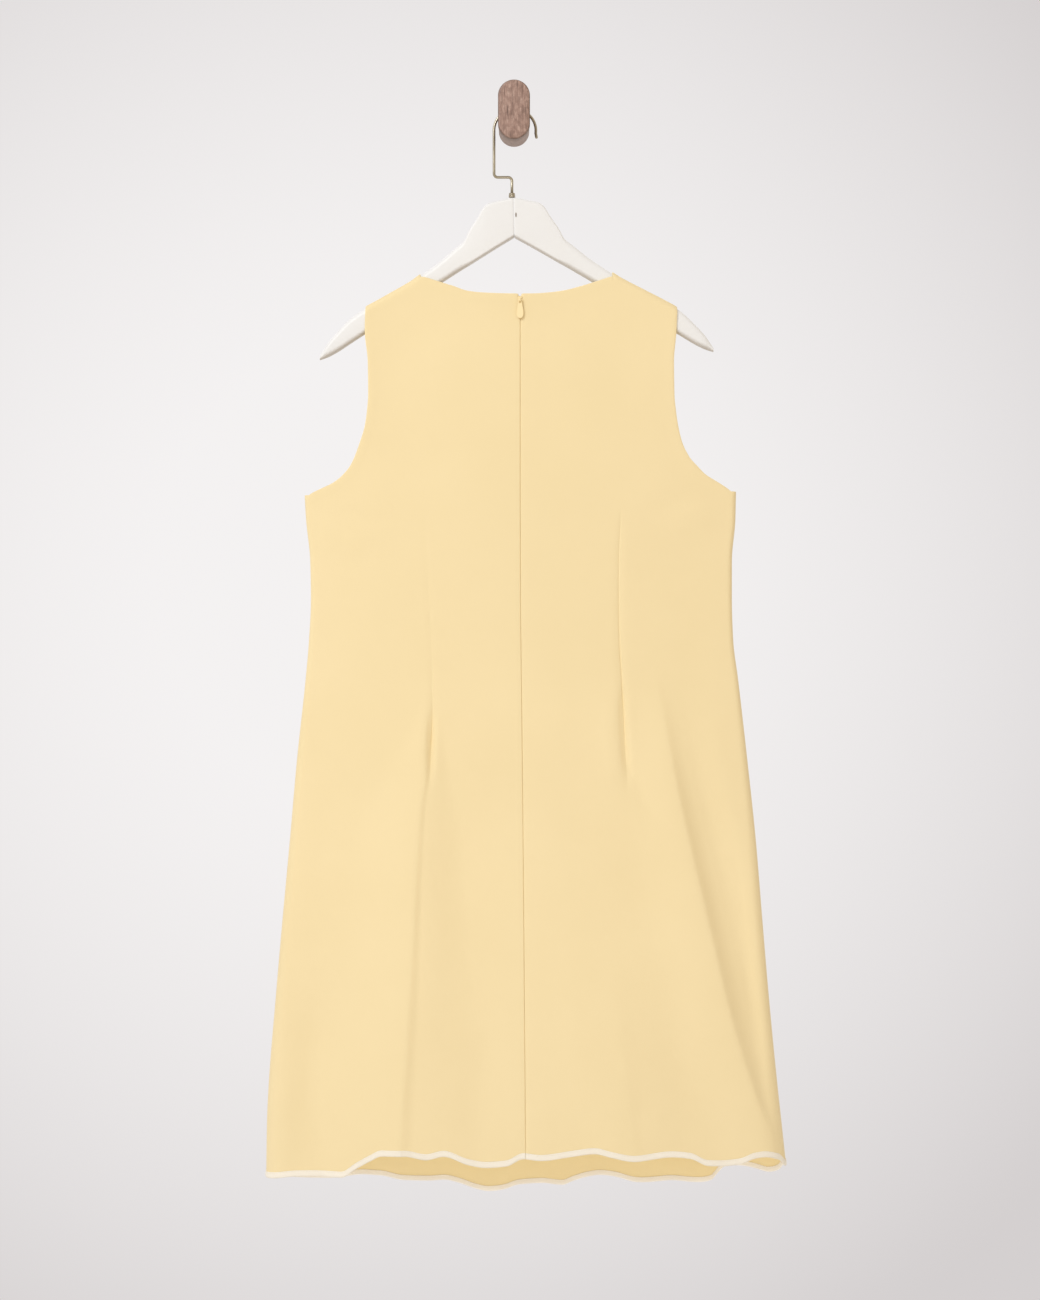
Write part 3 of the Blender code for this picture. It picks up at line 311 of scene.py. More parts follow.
BOARD_TOP = table("x z", [
    (0, -76.3), (17, -79.9), (27, -82.4), (32, -86), (39, -97.5), (48.5, -111.6),
    (53.2, -121), (61.6, -127.9), (81.6, -144.3), (97.5, -155.4), (110.6, -164.2),
    (138, -179.2), (166.7, -195.1), (178, -203), (191.3, -216.2), (201.6, -227.6),
    (208, -237.5), (210.6, -242)])
BOARD_BOTTOM = table("x z", [
    (0, -118.6), (20, -130.2), (85, -169.8), (170, -224), (201.6, -242.6), (210.6, -245.6)])
FOLD_ARCS = 12                 # columns round each side fold
BODY_STEPS, YOKE_STEPS, TOP_STEPS, COLUMN_STEPS = 200, 68, 10, 4
DENSE_STEPS = (0.04, 0.08, 0.13, 0.19)


# ------------------------ form of the cloth

def tilt(x, z):
    """A point of the level hanger as it hangs."""
    dz = z - BOARD_PIVOT_Z
    cos, sin = math.cos(BOARD_TILT), math.sin(BOARD_TILT)
    return x * cos - dz * sin, BOARD_PIVOT_Z + x * sin + dz * cos


def crest_line():
    """Middle line of the cloth along the top of both arms, outside the neck."""
    lines = []
    for side in (-1, 1):
        x, z = tilt(side * CREST_REACH, smooth(BOARD_TOP, "z", CREST_REACH))
        dx, dz = np.gradient(x), np.gradient(z)
        size = np.hypot(dx, dz)
        lines.append(np.stack([x - side * dz / size * CREST_LIFT,
                               z + side * dx / size * CREST_LIFT], axis=1)[::side])
    line = np.concatenate(lines)
    return line[(line[:, 0] < NECK_LEFT + CREST_OVERLAP)
                | (line[:, 0] > NECK_RIGHT - CREST_OVERLAP)]


CREST = crest_line()


def crest_z(x):
    return np.interp(x, CREST[:, 0], CREST[:, 1])


def below_wood(x, z):
    """0 over the hanger and 1 well below it."""
    return ease((crest_z(x) - WOOD_CLEAR - z) / WOOD_FADE)


def side_edges(z):
    """Middle lines of the wall at the left and right side folds."""
    return smooth(OUTLINE, "left", z) + CLOTH, smooth(OUTLINE, "right", z) - CLOTH


def centre_x(z):
    return smooth(OUTLINE, "centre", z)


def half_depth(x, z, bulge):
    """Distance of the wall's middle from the plane of the side seams."""
    left, right = side_edges(z)
    centre, reach = (left + right) / 2, (right - left) / 2
    across = np.clip((x - centre) / reach, -1, 1)
    radius = smooth(DEPTH, "fold", z)
    inward = np.clip(reach - np.abs(x - centre), 0, radius)
    arc = np.sqrt(np.maximum(radius ** 2 - (radius - inward) ** 2, 0))
    return arc + smooth(DEPTH, bulge, z) * (1 - across ** 2)


def near_side(x, z):
    """0 at the side folds and 1 away from them, where folds and creases are free."""
    left, right = side_edges(z)
    return ease(np.minimum(x - left, right - x) / FOLD_FADE)


def fallen(t, shape):
    """How much of a fold's right side lies to the left of here: steep at its crest, and steep
    again after a rest."""
    first, until, second = shape["first"], shape["until"], shape["second"]
    quick = 1 - (1 - np.clip(t / until, 0, 1)) ** FOLD_POWER
    return first * quick + (1 - first) * ease((t - second) / (1 - second))


def fold_height(x, z, folds):
    """Height of the long folds over the plain form, away from the inside of the dress."""
    height = np.zeros(np.broadcast(x, z).shape)
    for shape in folds:
        crest, left, right, tall, trough = (
            smooth(shape, key, z) for key in ("crest", "left", "right", "height", "trough"))
        dx = x - crest
        rise = ease(1 + dx / left)
        fall = 1 - (1 + trough) * fallen(dx / right, shape)
        level = -trough * (1 - ease((dx - right) / (TROUGH_RUN * right)))
        height = height + tall * np.where(dx < 0, rise, np.where(dx < right, fall, level))
    return height * near_side(x, z)


def crease_height(x, z, creases):
    """Height of the smaller creases, which bow a little and fade out at their ends."""
    height = np.zeros(np.broadcast(x, z).shape)
    for x0, z0, x1, z1, half, tall in zip(*creases.values()):
        length = math.hypot(x1 - x0, z1 - z0)
        along = ((x - x0) * (x1 - x0) + (z - z0) * (z1 - z0)) / length ** 2
        across = ((x - x0) * (z1 - z0) - (z - z0) * (x1 - x0)) / length
        bow = half * CREASE_BOW * np.sin(math.pi * np.clip(along, 0, 1))
        end = ease(along / CREASE_FADE) * ease((1 - along) / CREASE_FADE)
        height = height + tall * end * np.exp(-((across - bow) / half) ** 2)
    return height * near_side(x, z) * below_wood(x, z)


def drift(x, z, seed):
    """The cloth's slow unevenness: three pairs of waves, each shorter and lower than the last."""
    height = 0.0
    for tall, *pair in DRIFT_WAVES:
        first, second = (np.sin(x / across + z / up + shift * seed) for across, up, shift in pair)
        height = height + tall * first * second
    return height * near_side(x, z) * below_wood(x, z)


def between(column, left, centre, right):
    """From the left (0) over the centre-back seam (0.5) to the right (1)."""
    return np.where(column < 0.5, left + (centre - left) * 2 * column,
                    centre + (right - centre) * (2 * column - 1))


def column_x(column, z):
    """Across the dress: -1 to 0 round the left side fold, 0 to 1 between the folds, and 1 to 2
    round the right one."""
    left, right = side_edges(z)
    radius = smooth(DEPTH, "fold", z)
    left, right = left + radius, right - radius
    flat = between(np.clip(column, 0, 1), left, centre_x(z), right)
    turn_left = radius * np.cos(np.clip(column + 1, 0, 1) * QUARTER)
    turn_right = radius * np.cos(np.clip(2 - column, 0, 1) * QUARTER)
    return np.where(column < 0, left - turn_left, np.where(column > 1, right + turn_right, flat))


def dart_crease(x, z):
    """Each dart's hollow, with its sewn line down the middle."""
    depth = np.zeros(np.broadcast(x, z).shape)
    leans = (DART_LEAN * ease((z - DART_LEAN_Z) / DART_LEAN_RUN), 0.0)
    for column, side, lean in zip(DART_COLUMNS, ("left", "right"), leans):
        away = np.abs(x + lean - column_x(column, z))
        depth = depth + smooth(DART_CREASE, side, z) * np.clip(1 - away / DART_HALF_WIDTH, 0, 1)
        depth = depth + smooth(DART_SEAM, side, z) * np.exp(-(away / DART_SEAM_HALF) ** 2)
    return depth


def seam_pucker(x, z):
    """The small even puckers that a long seam draws beside it, below the slider."""
    away = np.abs(x - centre_x(z))
    wave = uneven_wave(z, *PUCKER_WAVE) * (0.6 + 0.4 * np.sin(z / PUCKER_SWELL))
    beside = np.exp(-(away / PUCKER_HALF) ** 2)
    return PUCKER_HEIGHT * wave * beside * ease((PUCKER_TOP_Z - z) / PUCKER_RUN)


def back_y(x, z):
    plain = smooth(DEPTH, "seam", z) - half_depth(x, z, "back")
    out = fold_height(x, z, BACK_FOLDS) + crease_height(x, z, BACK_CREASES)
    return plain - out - drift(x, z, BACK_SEED) - seam_pucker(x, z) + dart_crease(x, z)


def front_y(x, z):
    plain = smooth(DEPTH, "seam", z) + half_depth(x, z, "front")
    inwards = fold_height(x, z, FRONT_FOLDS) + crease_height(x, z, FRONT_CREASES)
    return plain - inwards - drift(x, z, FRONT_SEED)


def over_hanger(x, down):
    """The cloth near the top: `down` is the way along it from the ridge, above 0 to the back
    and below 0 to the front."""
    turn = np.minimum(np.abs(down) / WRAP, QUARTER)
    below = np.maximum(np.abs(down) - CREST_WAY, 0)
    z = crest_z(x) - WRAP * (1 - np.cos(turn)) - below
    arc = HANG_Y - np.sign(down) * WRAP * np.sin(turn)
    y = np.where(below > 0, np.where(down > 0, back_y(x, z), front_y(x, z)), arc)
    return np.stack([x + 0 * z, y, z], axis=-1)


def back_edge(x):
    """Way down from the ridge to the back's top edge: its shoulder seam or its neckline."""
    drop = crest_z(x) - smooth(BACK_NECK, "z", x)
    turned = WRAP * np.arccos(np.clip(1 - drop / WRAP, -1, 1))
    neck = np.where(drop < WRAP, turned, CREST_WAY + drop - WRAP)
    inside = (x > NECK_LEFT + 0.01) & (x < NECK_RIGHT - 0.01)
    return np.where(inside, np.maximum(neck, SEAM_DROP), SEAM_DROP)


def front_edge(x):
    """Way from the ridge to the top of the part of the front that hangs straight down."""
    across = np.clip((x - NECK_LEFT) / (NECK_RIGHT - NECK_LEFT), 0, 1)
    curve = (1 - np.abs(2 * across - 1) ** FRONT_NECK_POWER) ** (1 / FRONT_NECK_POWER)
    return -CREST_WAY - FRONT_NECK_DROP * curve


def shoulder_x(column):
    """Across the dress along its top edge, between the shoulders' tips."""
    return between(column, TIP_LEFT, centre_x(0.0) - SHOULDER_SHIFT, TIP_RIGHT)


def panel_columns(tab, dense):
    """Even steps between the table's columns, with finer ones beside the `dense` ones: for
    each, its index and its places across the body and along the top edge."""
    last = int(tab["index"][-1])
    index = set(np.round(np.linspace(0, last, last * COLUMN_STEPS + 1), 4))
    for middle in dense:
        for step in DENSE_STEPS:
            index |= {middle - step, middle + step}
    index = np.array(sorted(index))
    return index, *(np.interp(index, tab["index"], tab[part]) for part in ("body", "top"))


def body_grid(columns, hem, surface_y):
    """Points from the hem up to the underarm line, a row for each height."""
    turn = np.arange(FOLD_ARCS) / FOLD_ARCS
    columns = np.concatenate([turn - 1, columns, 2 - turn[::-1]])
    hem_z = smooth(hem, "z", column_x(columns, HEM_LINE_Z))
    top_z = UNDERARM_LEFT + (UNDERARM_RIGHT - UNDERARM_LEFT) * np.clip(columns, 0, 1)
    z = hem_z + (top_z - hem_z) * np.linspace(0, 1, BODY_STEPS + 1)[:, None]
    x = column_x(columns[None, :], z)
    return np.stack([x, surface_y(x, z), z], axis=-1)


def yoke_grid(base, body, top, ways, surface_y):
    """Points from the underarm line `base` up to the armholes and the top rows, whose `ways`
    are measured from the ridge."""
    top_rows = [over_hanger(shoulder_x(top), way) for way in ways]
    z_low, z_high = base[:, 2], top_rows[0][:, 2]
    rows = [base]
    for share in (np.arange(1, YOKE_STEPS) / YOKE_STEPS) ** YOKE_POWER:
        z = z_low + (z_high - z_low) * share
        x = between(body + (top - body) * ease(share), smooth(ARMHOLE_LEFT, "x", z[0]),
                    centre_x(z), smooth(ARMHOLE_RIGHT, "x", z[-1]))
        rows.append(np.stack([x, surface_y(x, z), z], axis=-1))
    return np.stack(rows + top_rows)


def panel_grids(tab, hem, surface_y, edge, steps, dense=()):
    """A panel's columns, and its grids below and above the underarm line."""
    index, body, top = panel_columns(tab, dense)
    low = body_grid(body, hem, surface_y)
    ways = edge(shoulder_x(top)) + steps
    high = yoke_grid(low[-1, FOLD_ARCS:-FOLD_ARCS], body, top, ways, surface_y)
    return index, top, low, high


# ------------------------ cloth meshes

def unit(vectors):
    return vectors / np.maximum(np.linalg.norm(vectors, axis=-1, keepdims=True), 1e-9)


def way_along(points):
    """Way along lines of points, from 0 at their first."""
    steps = np.linalg.norm(np.diff(points, axis=0), axis=-1)
    return np.concatenate([np.zeros_like(steps[:1]), np.cumsum(steps, axis=0)])


def new_piece(name, points, faces, material, uvs=None):
    """A smooth mesh piece from points in millimetres."""
    mesh = bpy.data.meshes.new(name)
    mesh.from_pydata((np.asarray(points, float) * MM).tolist(), [], faces)
    if uvs is not None:
        layer = mesh.uv_layers.new(name="along_across")
        corners = np.empty(len(mesh.loops), int)
        mesh.loops.foreach_get("vertex_index", corners)
        layer.data.foreach_set("uv", np.reshape(uvs, (-1, 2))[corners].ravel())
    mesh.validate()
    mesh.shade_smooth()
    mesh.materials.append(material)
    piece = bpy.data.objects.new(name, mesh)
    bpy.context.scene.collection.objects.link(piece)
    return piece


def outwards(piece):
    """Faces of a closed mesh turned to point out."""
    shape = bmesh.new()
    shape.from_mesh(piece.data)
    bmesh.ops.recalc_face_normals(shape, faces=shape.faces)
    shape.to_mesh(piece.data)
    shape.free()
    return piece


def grid_normals(grid, direction):
    """Normals of a grid, pointing out of the dress."""
    across, up = np.gradient(grid, axis=1), np.gradient(grid, axis=0)
    return unit(np.cross(across, up)) * direction


def turned_edge(edge, inner, outward, spread=0.0, sink=1.0):
    """Columns that turn a seam's edge in, from the last one on the cloth to the end of the
    turned part. `outward` is the cloth's normal, `spread` opens the seam and `sink` is how much
    of the turn there is."""
    way = inner - edge
    way = unit(way - outward * (way * outward).sum(-1, keepdims=True))
    start = edge + way * (CLOTH + SEAM_SPACE / 2 + spread)
    columns = [start + way * SEAM_RADIUS * (1 - math.sin(angle))
               - outward * SEAM_RADIUS * (1 - math.cos(angle)) * sink
               for angle in np.linspace(0, QUARTER, TURN - 1)]
    columns.append(columns[-1] - outward * SEAM_DEEP * sink - way * SEAM_LEAN)
    return np.stack(columns)


def sunk(path):
    """How much of the turn a seam has along its path: hardly any at the hem, in the binding."""
    up = path[:, 2] - path[0, 2]
    return np.maximum(ease((up - HEM_FLAT) / HEM_RUN), SUNK_LEAST)[:, None]


def side_turn(grid, side):
    """Columns turned in at a side seam, where the cloth's normal points out to that side."""
    edge = grid[:, 0]
    outward = np.array([side, 0.0, 0.0])
    return turned_edge(edge, grid[:, SIDE_DROP], outward, sink=sunk(edge)).transpose(1, 0, 2)


def gathered(*ids):
    return np.unique(np.concatenate([part.ravel() for part in ids]))


class Cloth:
    """The middle surface of one piece of cloth, from grids that share some edges."""

    def __init__(self, grids, outward):
        self.points, self.numbers = [], {}
        self.ids = [self.number(grid) for grid in grids]
        quads = [np.stack([ids[:-1, :-1], ids[:-1, 1:], ids[1:, 1:], ids[1:, :-1]],
                          axis=-1).reshape(-1, 4) for ids in self.ids]
        self.points = np.array(self.points)
        self.faces = np.concatenate(quads)[:, ::-outward]
        a, b, c, d = (self.points[corner] for corner in self.faces.T)
        normal, middle = np.cross(c - a, d - b), (a + b + c + d) / 4
        sums, centres = np.zeros_like(self.points), np.zeros_like(self.points)
        used = np.zeros(len(self.points))
        for corner in self.faces.T:
            np.add.at(sums, corner, normal)
            np.add.at(centres, corner, middle)
            np.add.at(used, corner, 1)
        self.normals = unit(sums)
        away = self.points - centres / used[:, None]
        self.away = unit(away - self.normals * (away * self.normals).sum(1, keepdims=True))

    def number(self, grid):
        """Numbers a grid's points; a point that another grid of the piece has is shared."""
        ids = np.empty(grid.shape[:2], int)
        keys = np.round(grid, 3)
        for spot in np.ndindex(ids.shape):
            key = tuple(keys[spot])
            if key not in self.numbers:
                self.numbers[key] = len(self.points)
                self.points.append(grid[spot])
            ids[spot] = self.numbers[key]
        return ids

    def border(self):
        """The border's edges, each as its first and second point."""
        a, b = self.faces.ravel(), np.roll(self.faces, -1, axis=1).ravel()
        there = set(zip(a.tolist(), b.tolist()))
        return np.array([edge for edge in there if edge[::-1] not in there])

    def wall(self, name, material):
        """The piece as a thin wall with rounded edges, thicker beside its faced ones."""
        tree = KDTree(len(self.faced))
        for i in self.faced:
            tree.insert(Vector(self.points[i]), int(i))
        tree.balance()
        far = np.array([tree.find(Vector(point))[2] for point in self.points])
        half = CLOTH + (EDGE_CLOTH - CLOTH) * ease((FACING_WIDTH - far) / FACING_STEP + 0.5)
        half[self.turned] = CLOTH
        half = half[:, None]

        border, count = self.border(), len(self.points)
        ring = np.unique(border)
        places = np.searchsorted(ring, border)
        points = [self.points + self.normals * half, self.points - self.normals * half]
        lines = [border]
        for step, (out, side) in enumerate(RIM):
            points.append(self.points[ring] + self.away[ring] * half[ring] * out
                          + self.normals[ring] * half[ring] * side)
            lines.append(2 * count + step * len(ring) + places)
        lines.append(border + count)
        faces = [self.faces, self.faces[:, ::-1] + count]
        faces += [np.hstack([line[:, ::-1], after]) for line, after in zip(lines, lines[1:])]
        inside = np.repeat([0.0, 1.0, 0.5], [count, count, len(RIM) * len(ring)])
        return new_piece(name, np.concatenate(points), np.concatenate(faces).tolist(), material,
                         np.stack([inside, 0 * inside], axis=1))


def back_half(low, high, shoulder, side):
    """One back piece. Its columns run from the side seam to the centre seam, and the first
    `shoulder` ones reach the shoulder seam."""
    normal_low, normal_high = grid_normals(low, -side), grid_normals(high, -side)
    path, inner = (np.concatenate([low[:-1, column], high[:, column]])
                   for column in (-1, -1 - CENTRE_DROP))
    outward = np.concatenate([normal_low[:-1, -1], normal_high[:, -1]])
    opened = np.clip(1 + (path[:, 2:] - path[-1, 2]) / ZIP_OPEN_RUN, 0, 1)
    centre = turned_edge(path, inner, outward, ZIP_TOP_OPEN * opened, sunk(path))
    centre = centre.transpose(1, 0, 2)
    grid_low = np.hstack([side_turn(low, side)[:, ::-1], low[:, SIDE_DROP:-CENTRE_DROP],
                          centre[:len(low)]])
    grid_high = np.hstack([high[:, :-CENTRE_DROP], centre[len(low) - 1:]])
    turn = turned_edge(high[-1, :shoulder], high[-1 - TOP_DROP, :shoulder],
                       normal_high[-1, :shoulder])
    grid_high[-TOP_DROP:, :shoulder] = turn[:TOP_DROP]
    cloth = Cloth([grid_low, grid_high, turn[TOP_DROP - 1:]], side)
    body, yoke, top = cloth.ids
    cloth.faced = gathered(yoke[-1, shoulder - 1:], yoke[:, 0],
                           body[-1, TURN - 1:TURN - 1 + FOLD_ARCS])
    cloth.turned = gathered(body[:, :TURN], body[:, -TURN:], yoke[:, -TURN:], top)
    cloth.hem = low[:HEM_ROWS], normal_low[:HEM_ROWS]
    return cloth


def back_panels():
    """Left and right back, with the seam edges turned in."""
    steps = (CREST_WAY - SEAM_DROP) * np.linspace(1, 0, TOP_STEPS + 1)[:, None]
    index, _, low, high = panel_grids(BACK_COLUMNS, BACK_HEM, back_y, back_edge, steps,
                                      BACK_DENSE)
    middle = int(np.searchsorted(index, BACK_CENTRE_INDEX))
    left = back_half(low[:, :FOLD_ARCS + middle + 1], high[:, :middle + 1],
                     (index <= BACK_NECK_INDEX[0]).sum(), -1)
    right = back_half(low[:, FOLD_ARCS + middle:][:, ::-1], high[:, middle:][:, ::-1],
                      (index >= BACK_NECK_INDEX[1]).sum(), 1)
    return left, right


def front_panel():
    """The front, which goes over the hanger to the shoulder seams."""
    index, top, raw, high = panel_grids(FRONT_COLUMNS, FRONT_HEM, front_y, front_edge,
                                        np.zeros((1, 1)))
    low = np.hstack([side_turn(raw, -1)[:, ::-1], raw[:, SIDE_DROP:-SIDE_DROP],
                     side_turn(raw[:, ::-1], 1)])
    over = np.stack([over_hanger(shoulder_x(top), way)
                     for way in np.linspace(-CREST_WAY, SEAM_DROP, OVER_ROWS)])
    left = (index <= FRONT_NECK_INDEX[0]).sum()
    right = (index >= FRONT_NECK_INDEX[1]).sum()
    blocks = []
    for block in (over[:, :left], over[:, -right:]):
        normal = grid_normals(block, 1)[-1]
        normal = normal * np.where(normal[:, 2:] < 0, -1, 1)
        turn = turned_edge(block[-1], block[-1 - TOP_DROP], normal)
        blocks.append(np.concatenate([block[:-TOP_DROP], turn]))
    cloth = Cloth([low, high] + blocks, 1)
    body, yoke, over_left, over_right = cloth.ids
    seams = len(over_left) - TURN
    fold_columns = slice(TURN - 1, TURN - 1 + FOLD_ARCS)
    cloth.faced = gathered(
        yoke[-1, left - 1:1 - right], yoke[:, [0, -1]], over_left[:seams, [0, -1]],
        over_right[:seams, [0, -1]], body[-1, fold_columns], body[-1, ::-1][fold_columns])
    cloth.turned = gathered(body[:, :TURN], body[:, -TURN:], over_left[seams:],
                            over_right[seams:])
    cloth.hem = raw[:HEM_ROWS], grid_normals(raw[:HEM_ROWS + 2], -1)[:HEM_ROWS]
    return cloth


# ------------------------ trims

# Section of the hem binding: way out from the cloth's middle, and way up from its edge.
BINDING = (
    (0.50, 5.25), (0.86, 5.42), (1.12, 5.22), (1.22, 4.7), (1.12, 4.15), (1.24, 3.3),
    (1.30, 1.8), (1.25, 0.3), (1.05, -0.55), (0.6, -1.05), (0.0, -1.2), (-0.6, -1.05),
    (-1.05, -0.55), (-1.25, 0.3), (-1.30, 1.8), (-1.22, 3.2), (-1.10, 3.9), (-1.18, 4.3),
    (-1.0, 4.68), (-0.5, 4.6), (-0.48, 0.15), (0.48, 0.15))
BINDING_END = 0.12             # from the binding's end to the seam line
BINDING_STEP = 1.15
BINDING_PUCKER, BINDING_WAVE = 0.05, (1.9, 2.0, 31.0)
BINDING_WEAVE = 0.0006         # across the weave, for each point of the section
REACH_STEP, REACH_STEPS = 0.5, 15
STITCH_UP, STITCH_OUT, STITCH_FROM, STITCH_BESIDE = 4.15, 1.12, 2.0, 0.8
STITCH_LENGTH, STITCH_SPACE, STITCH_RADIUS, STITCH_SIDES = 2.3, 0.8, 0.17, 5
STITCH_SHAPE = ((-0.5, 0.35), (-0.3, 0.9), (0.0, 1.0), (0.3, 0.9), (0.5, 0.35))


def ring_faces(start, count, size):
    """Faces between rings of `size` points, numbered from `start` on, and over both ends."""
    end = start + (count - 1) * size
    faces = [[*range(start + size - 1, start - 1, -1)], [*range(end, end + size)]]
    for ring in range(start, end, size):
        for i in range(size):
            j = (i + 1) % size
            faces.append([ring + i, ring + j, ring + size + j, ring + size + i])
    return faces


def tube_of_rings(name, rings, material, uvs=None):
    """A closed body through rings that have the same number of points."""
    rings = np.array(rings)
    faces = ring_faces(0, *rings.shape[:2])
    return outwards(new_piece(name, rings.reshape(-1, 3), faces, material, uvs))


def circle(sides, start=0.0):
    """Cosines and sines round a circle."""
    turn = 2 * math.pi * (np.arange(sides) + start) / sides
    return np.cos(turn), np.sin(turn)


def read_along(points, along, spots):
    """Points given along a line, read at other distances along it."""
    return np.stack([np.interp(spots, along, axis) for axis in points.T], axis=-1)


def hem_path(cloth, reach):
    """Places up the cloth from its hem, for each column, with the way out of the cloth."""
    points, normals = cloth.hem
    far = way_along(points)
    place = np.stack([read_along(points[:, c], far[:, c], reach)
                      for c in range(points.shape[1])])
    return way_along(place[:, 0]), place, normals[0]


def hem_binding(name, cloth, material):
    """A strip folded round the hem, with slight puckers between its stitches."""
    along, place, out = hem_path(cloth, np.arange(REACH_STEPS) * REACH_STEP)
    spots = np.linspace(BINDING_END, along[-1] - BINDING_END, int(along[-1] / BINDING_STEP))
    line = [read_along(place[:, k], along, spots) for k in range(REACH_STEPS)]
    normal = unit(read_along(out, along, spots))
    up_way = unit(line[1] - line[0])
    pucker = 1.0 + BINDING_PUCKER * uneven_wave(spots, *BINDING_WAVE)[:, None]
    rings, uvs = [], []
    for step, (off, up) in enumerate(BINDING):
        low, share = divmod(max(up, 0.0) / REACH_STEP, 1)
        low = int(low)
        point = line[low] * (1 - share) + line[low + 1] * share + up_way * min(up, 0.0)
        rings.append(point + normal * off * pucker)
        uvs.append(np.stack([spots * MM, 0 * spots + step * BINDING_WEAVE], axis=-1))
    return tube_of_rings(name, np.stack(rings, axis=1), material, np.stack(uvs, axis=1))


def binding_stitches(name, cloth, side, material):
    """A row of short thread humps along the binding's edge, outside (1) or inside (-1)."""
    along, places, normals = hem_path(cloth, np.array([STITCH_UP]))
    spots = np.arange(STITCH_FROM, along[-1] - STITCH_FROM, STITCH_LENGTH + STITCH_SPACE)
    line = places[:, 0]
    before, after = (read_along(line, along, spots + way * STITCH_BESIDE) for way in (-1, 1))
    ways = unit(after - before)
    outs = unit(read_along(normals, along, spots)) * side
    places = read_along(line, along, spots) + outs * STITCH_OUT
    cos, sin = (part[:, None] for part in circle(STITCH_SIDES))
    points, faces = [], []
    for place, way, out in zip(places, ways, outs):
        faces += ring_faces(len(points), len(STITCH_SHAPE), STITCH_SIDES)
        for t, grow in STITCH_SHAPE:
            lift = STITCH_RADIUS * ((1 - (2 * t) ** 2) * 1.1 - 0.5)
            centre = place + way * STITCH_LENGTH * t + out * lift
            points.extend(centre + (out * cos + np.cross(way, out) * sin) * STITCH_RADIUS * grow)
    return outwards(new_piece(name, points, faces, material))


def seam_line(cloth, column):
    """Points down a column from the neckline to the hem, with the normals there."""
    low, high = cloth.ids[:2]
    ids = np.concatenate([low[:-1, column], high[:, column]])[::-1]
    return cloth.points[ids], cloth.normals[ids]


def zip_tape(name, cloth, material):
    """The woven tape inside the back, beside the centre seam."""
    line, normal = seam_line(cloth, -TURN)
    inner, _ = seam_line(cloth, -TURN - 3)
    keep = line[:, 2] > ZIP_END_Z
    line, normal, way = line[keep], normal[keep], unit((inner - line)[keep])
    far = way_along(line)
    rings = np.stack([line + way * across - normal * inside for across, inside in TAPE], axis=1)
    uvs = np.stack([np.stack([far, 0 * far + across], axis=-1) * MM for across, _ in TAPE],
                   axis=1)
    return tube_of_rings(name, rings, material, uvs)


def zip_coil(cloths, material):
    """Both rows of the closed zip's coil, inside the seam and below the slider."""
    cos, sin = circle(COIL_SIDES)
    polar = np.linspace(0, math.pi, COIL_RINGS)[:, None]
    bead = np.stack([np.sin(polar) * cos, np.sin(polar) * sin, np.cos(polar) + 0 * cos], axis=-1)
    bead = bead.reshape(-1, 3) * COIL_HALF
    points, faces = [], []
    for side, cloth in zip((-1, 1), cloths):
        line = seam_line(cloth, -TURN)[0][::-1]
        heights = ZIP_END_Z + COIL_PITCH * (
            np.arange(int((COIL_TOP_Z - ZIP_END_Z) / COIL_PITCH)) + (side > 0) / 2)
        for z in heights:
            centre = (centre_x(z) + side * COIL_X,
                      np.interp(z, line[:, 2], line[:, 1]) + COIL_Y, z)
            faces += ring_faces(len(points), COIL_RINGS, COIL_SIDES)[2:]
            points.extend(bead + centre)
    return new_piece("zip_coil", points, faces, material)


# ------------------------ hard parts

def arm_ring(side, x):
    """Section of one arm at a distance from the middle, with rounded edges."""
    high, low = float(smooth(BOARD_TOP, "z", x)), float(smooth(BOARD_BOTTOM, "z", x))
    rounding = HEAD_ROUNDING + (ARM_ROUNDING - HEAD_ROUNDING) * ease((x - HEAD_END) / HEAD_RUN)
    rise = min(rounding * ROUNDING_TALL, (high - low) / 2 - FLAT_TALL)
    thick = BOARD / 2 - TIP_THIN * ease((x - TIP_START) / TIP_RUN)
    across = min(rounding, thick - FLAT_DEEP)
    turns = np.linspace(0, QUARTER, CORNER_STEPS)
    ring = []
    for sign_y, sign_z in ((1, 1), (-1, 1), (-1, -1), (1, -1)):
        for turn in turns[::sign_y * sign_z]:
            y = HANG_Y + sign_y * (thick - across * (1 - math.cos(turn)))
            inset = rise * (1 - math.sin(turn))
            world_x, world_z = tilt(side * x, high - inset if sign_z > 0 else low + inset)
            ring.append((world_x, y, world_z))
    return ring


def hanger_arm(name, side, material):
    """One half of the hanger. Its joint's edge is eased, and its tip is round. In its second
    UV direction, 0 is the lower edge and 1 the upper one."""
    rings = [np.array(arm_ring(side, x)) for x in ARM_STATIONS]
    for k, shrink in enumerate(JOINT_EASE):
        middle = rings[k].mean(axis=0)
        rings[k] = middle + (rings[k] - middle) * (1, shrink, shrink)
    size = len(rings[0])
    from_low = np.abs((np.arange(size) - 0.75 * size + 0.5 + size / 2) % size / size * 2 - 1)
    uvs = [(x * MM, far) for x in ARM_STATIONS for far in from_low]
    return tube_of_rings(name, rings, material, uvs)


def bend(points, start, middle, end):
    """Adds a round corner at `middle` to the hook's path."""
    a, b = unit(start - middle), unit(end - middle)
    half = math.acos(np.dot(a, b)) / 2
    centre = middle + unit(a + b) * HOOK_BEND_RADIUS / math.sin(half)
    first, last = (middle + way * HOOK_BEND_RADIUS / math.tan(half) for way in (a, b))
    for share in np.arange(HOOK_BEND_STEPS + 1) / HOOK_BEND_STEPS:
        way = (first - centre) * (1 - share) + (last - centre) * share
        points.append(centre + unit(way) * HOOK_BEND_RADIUS)


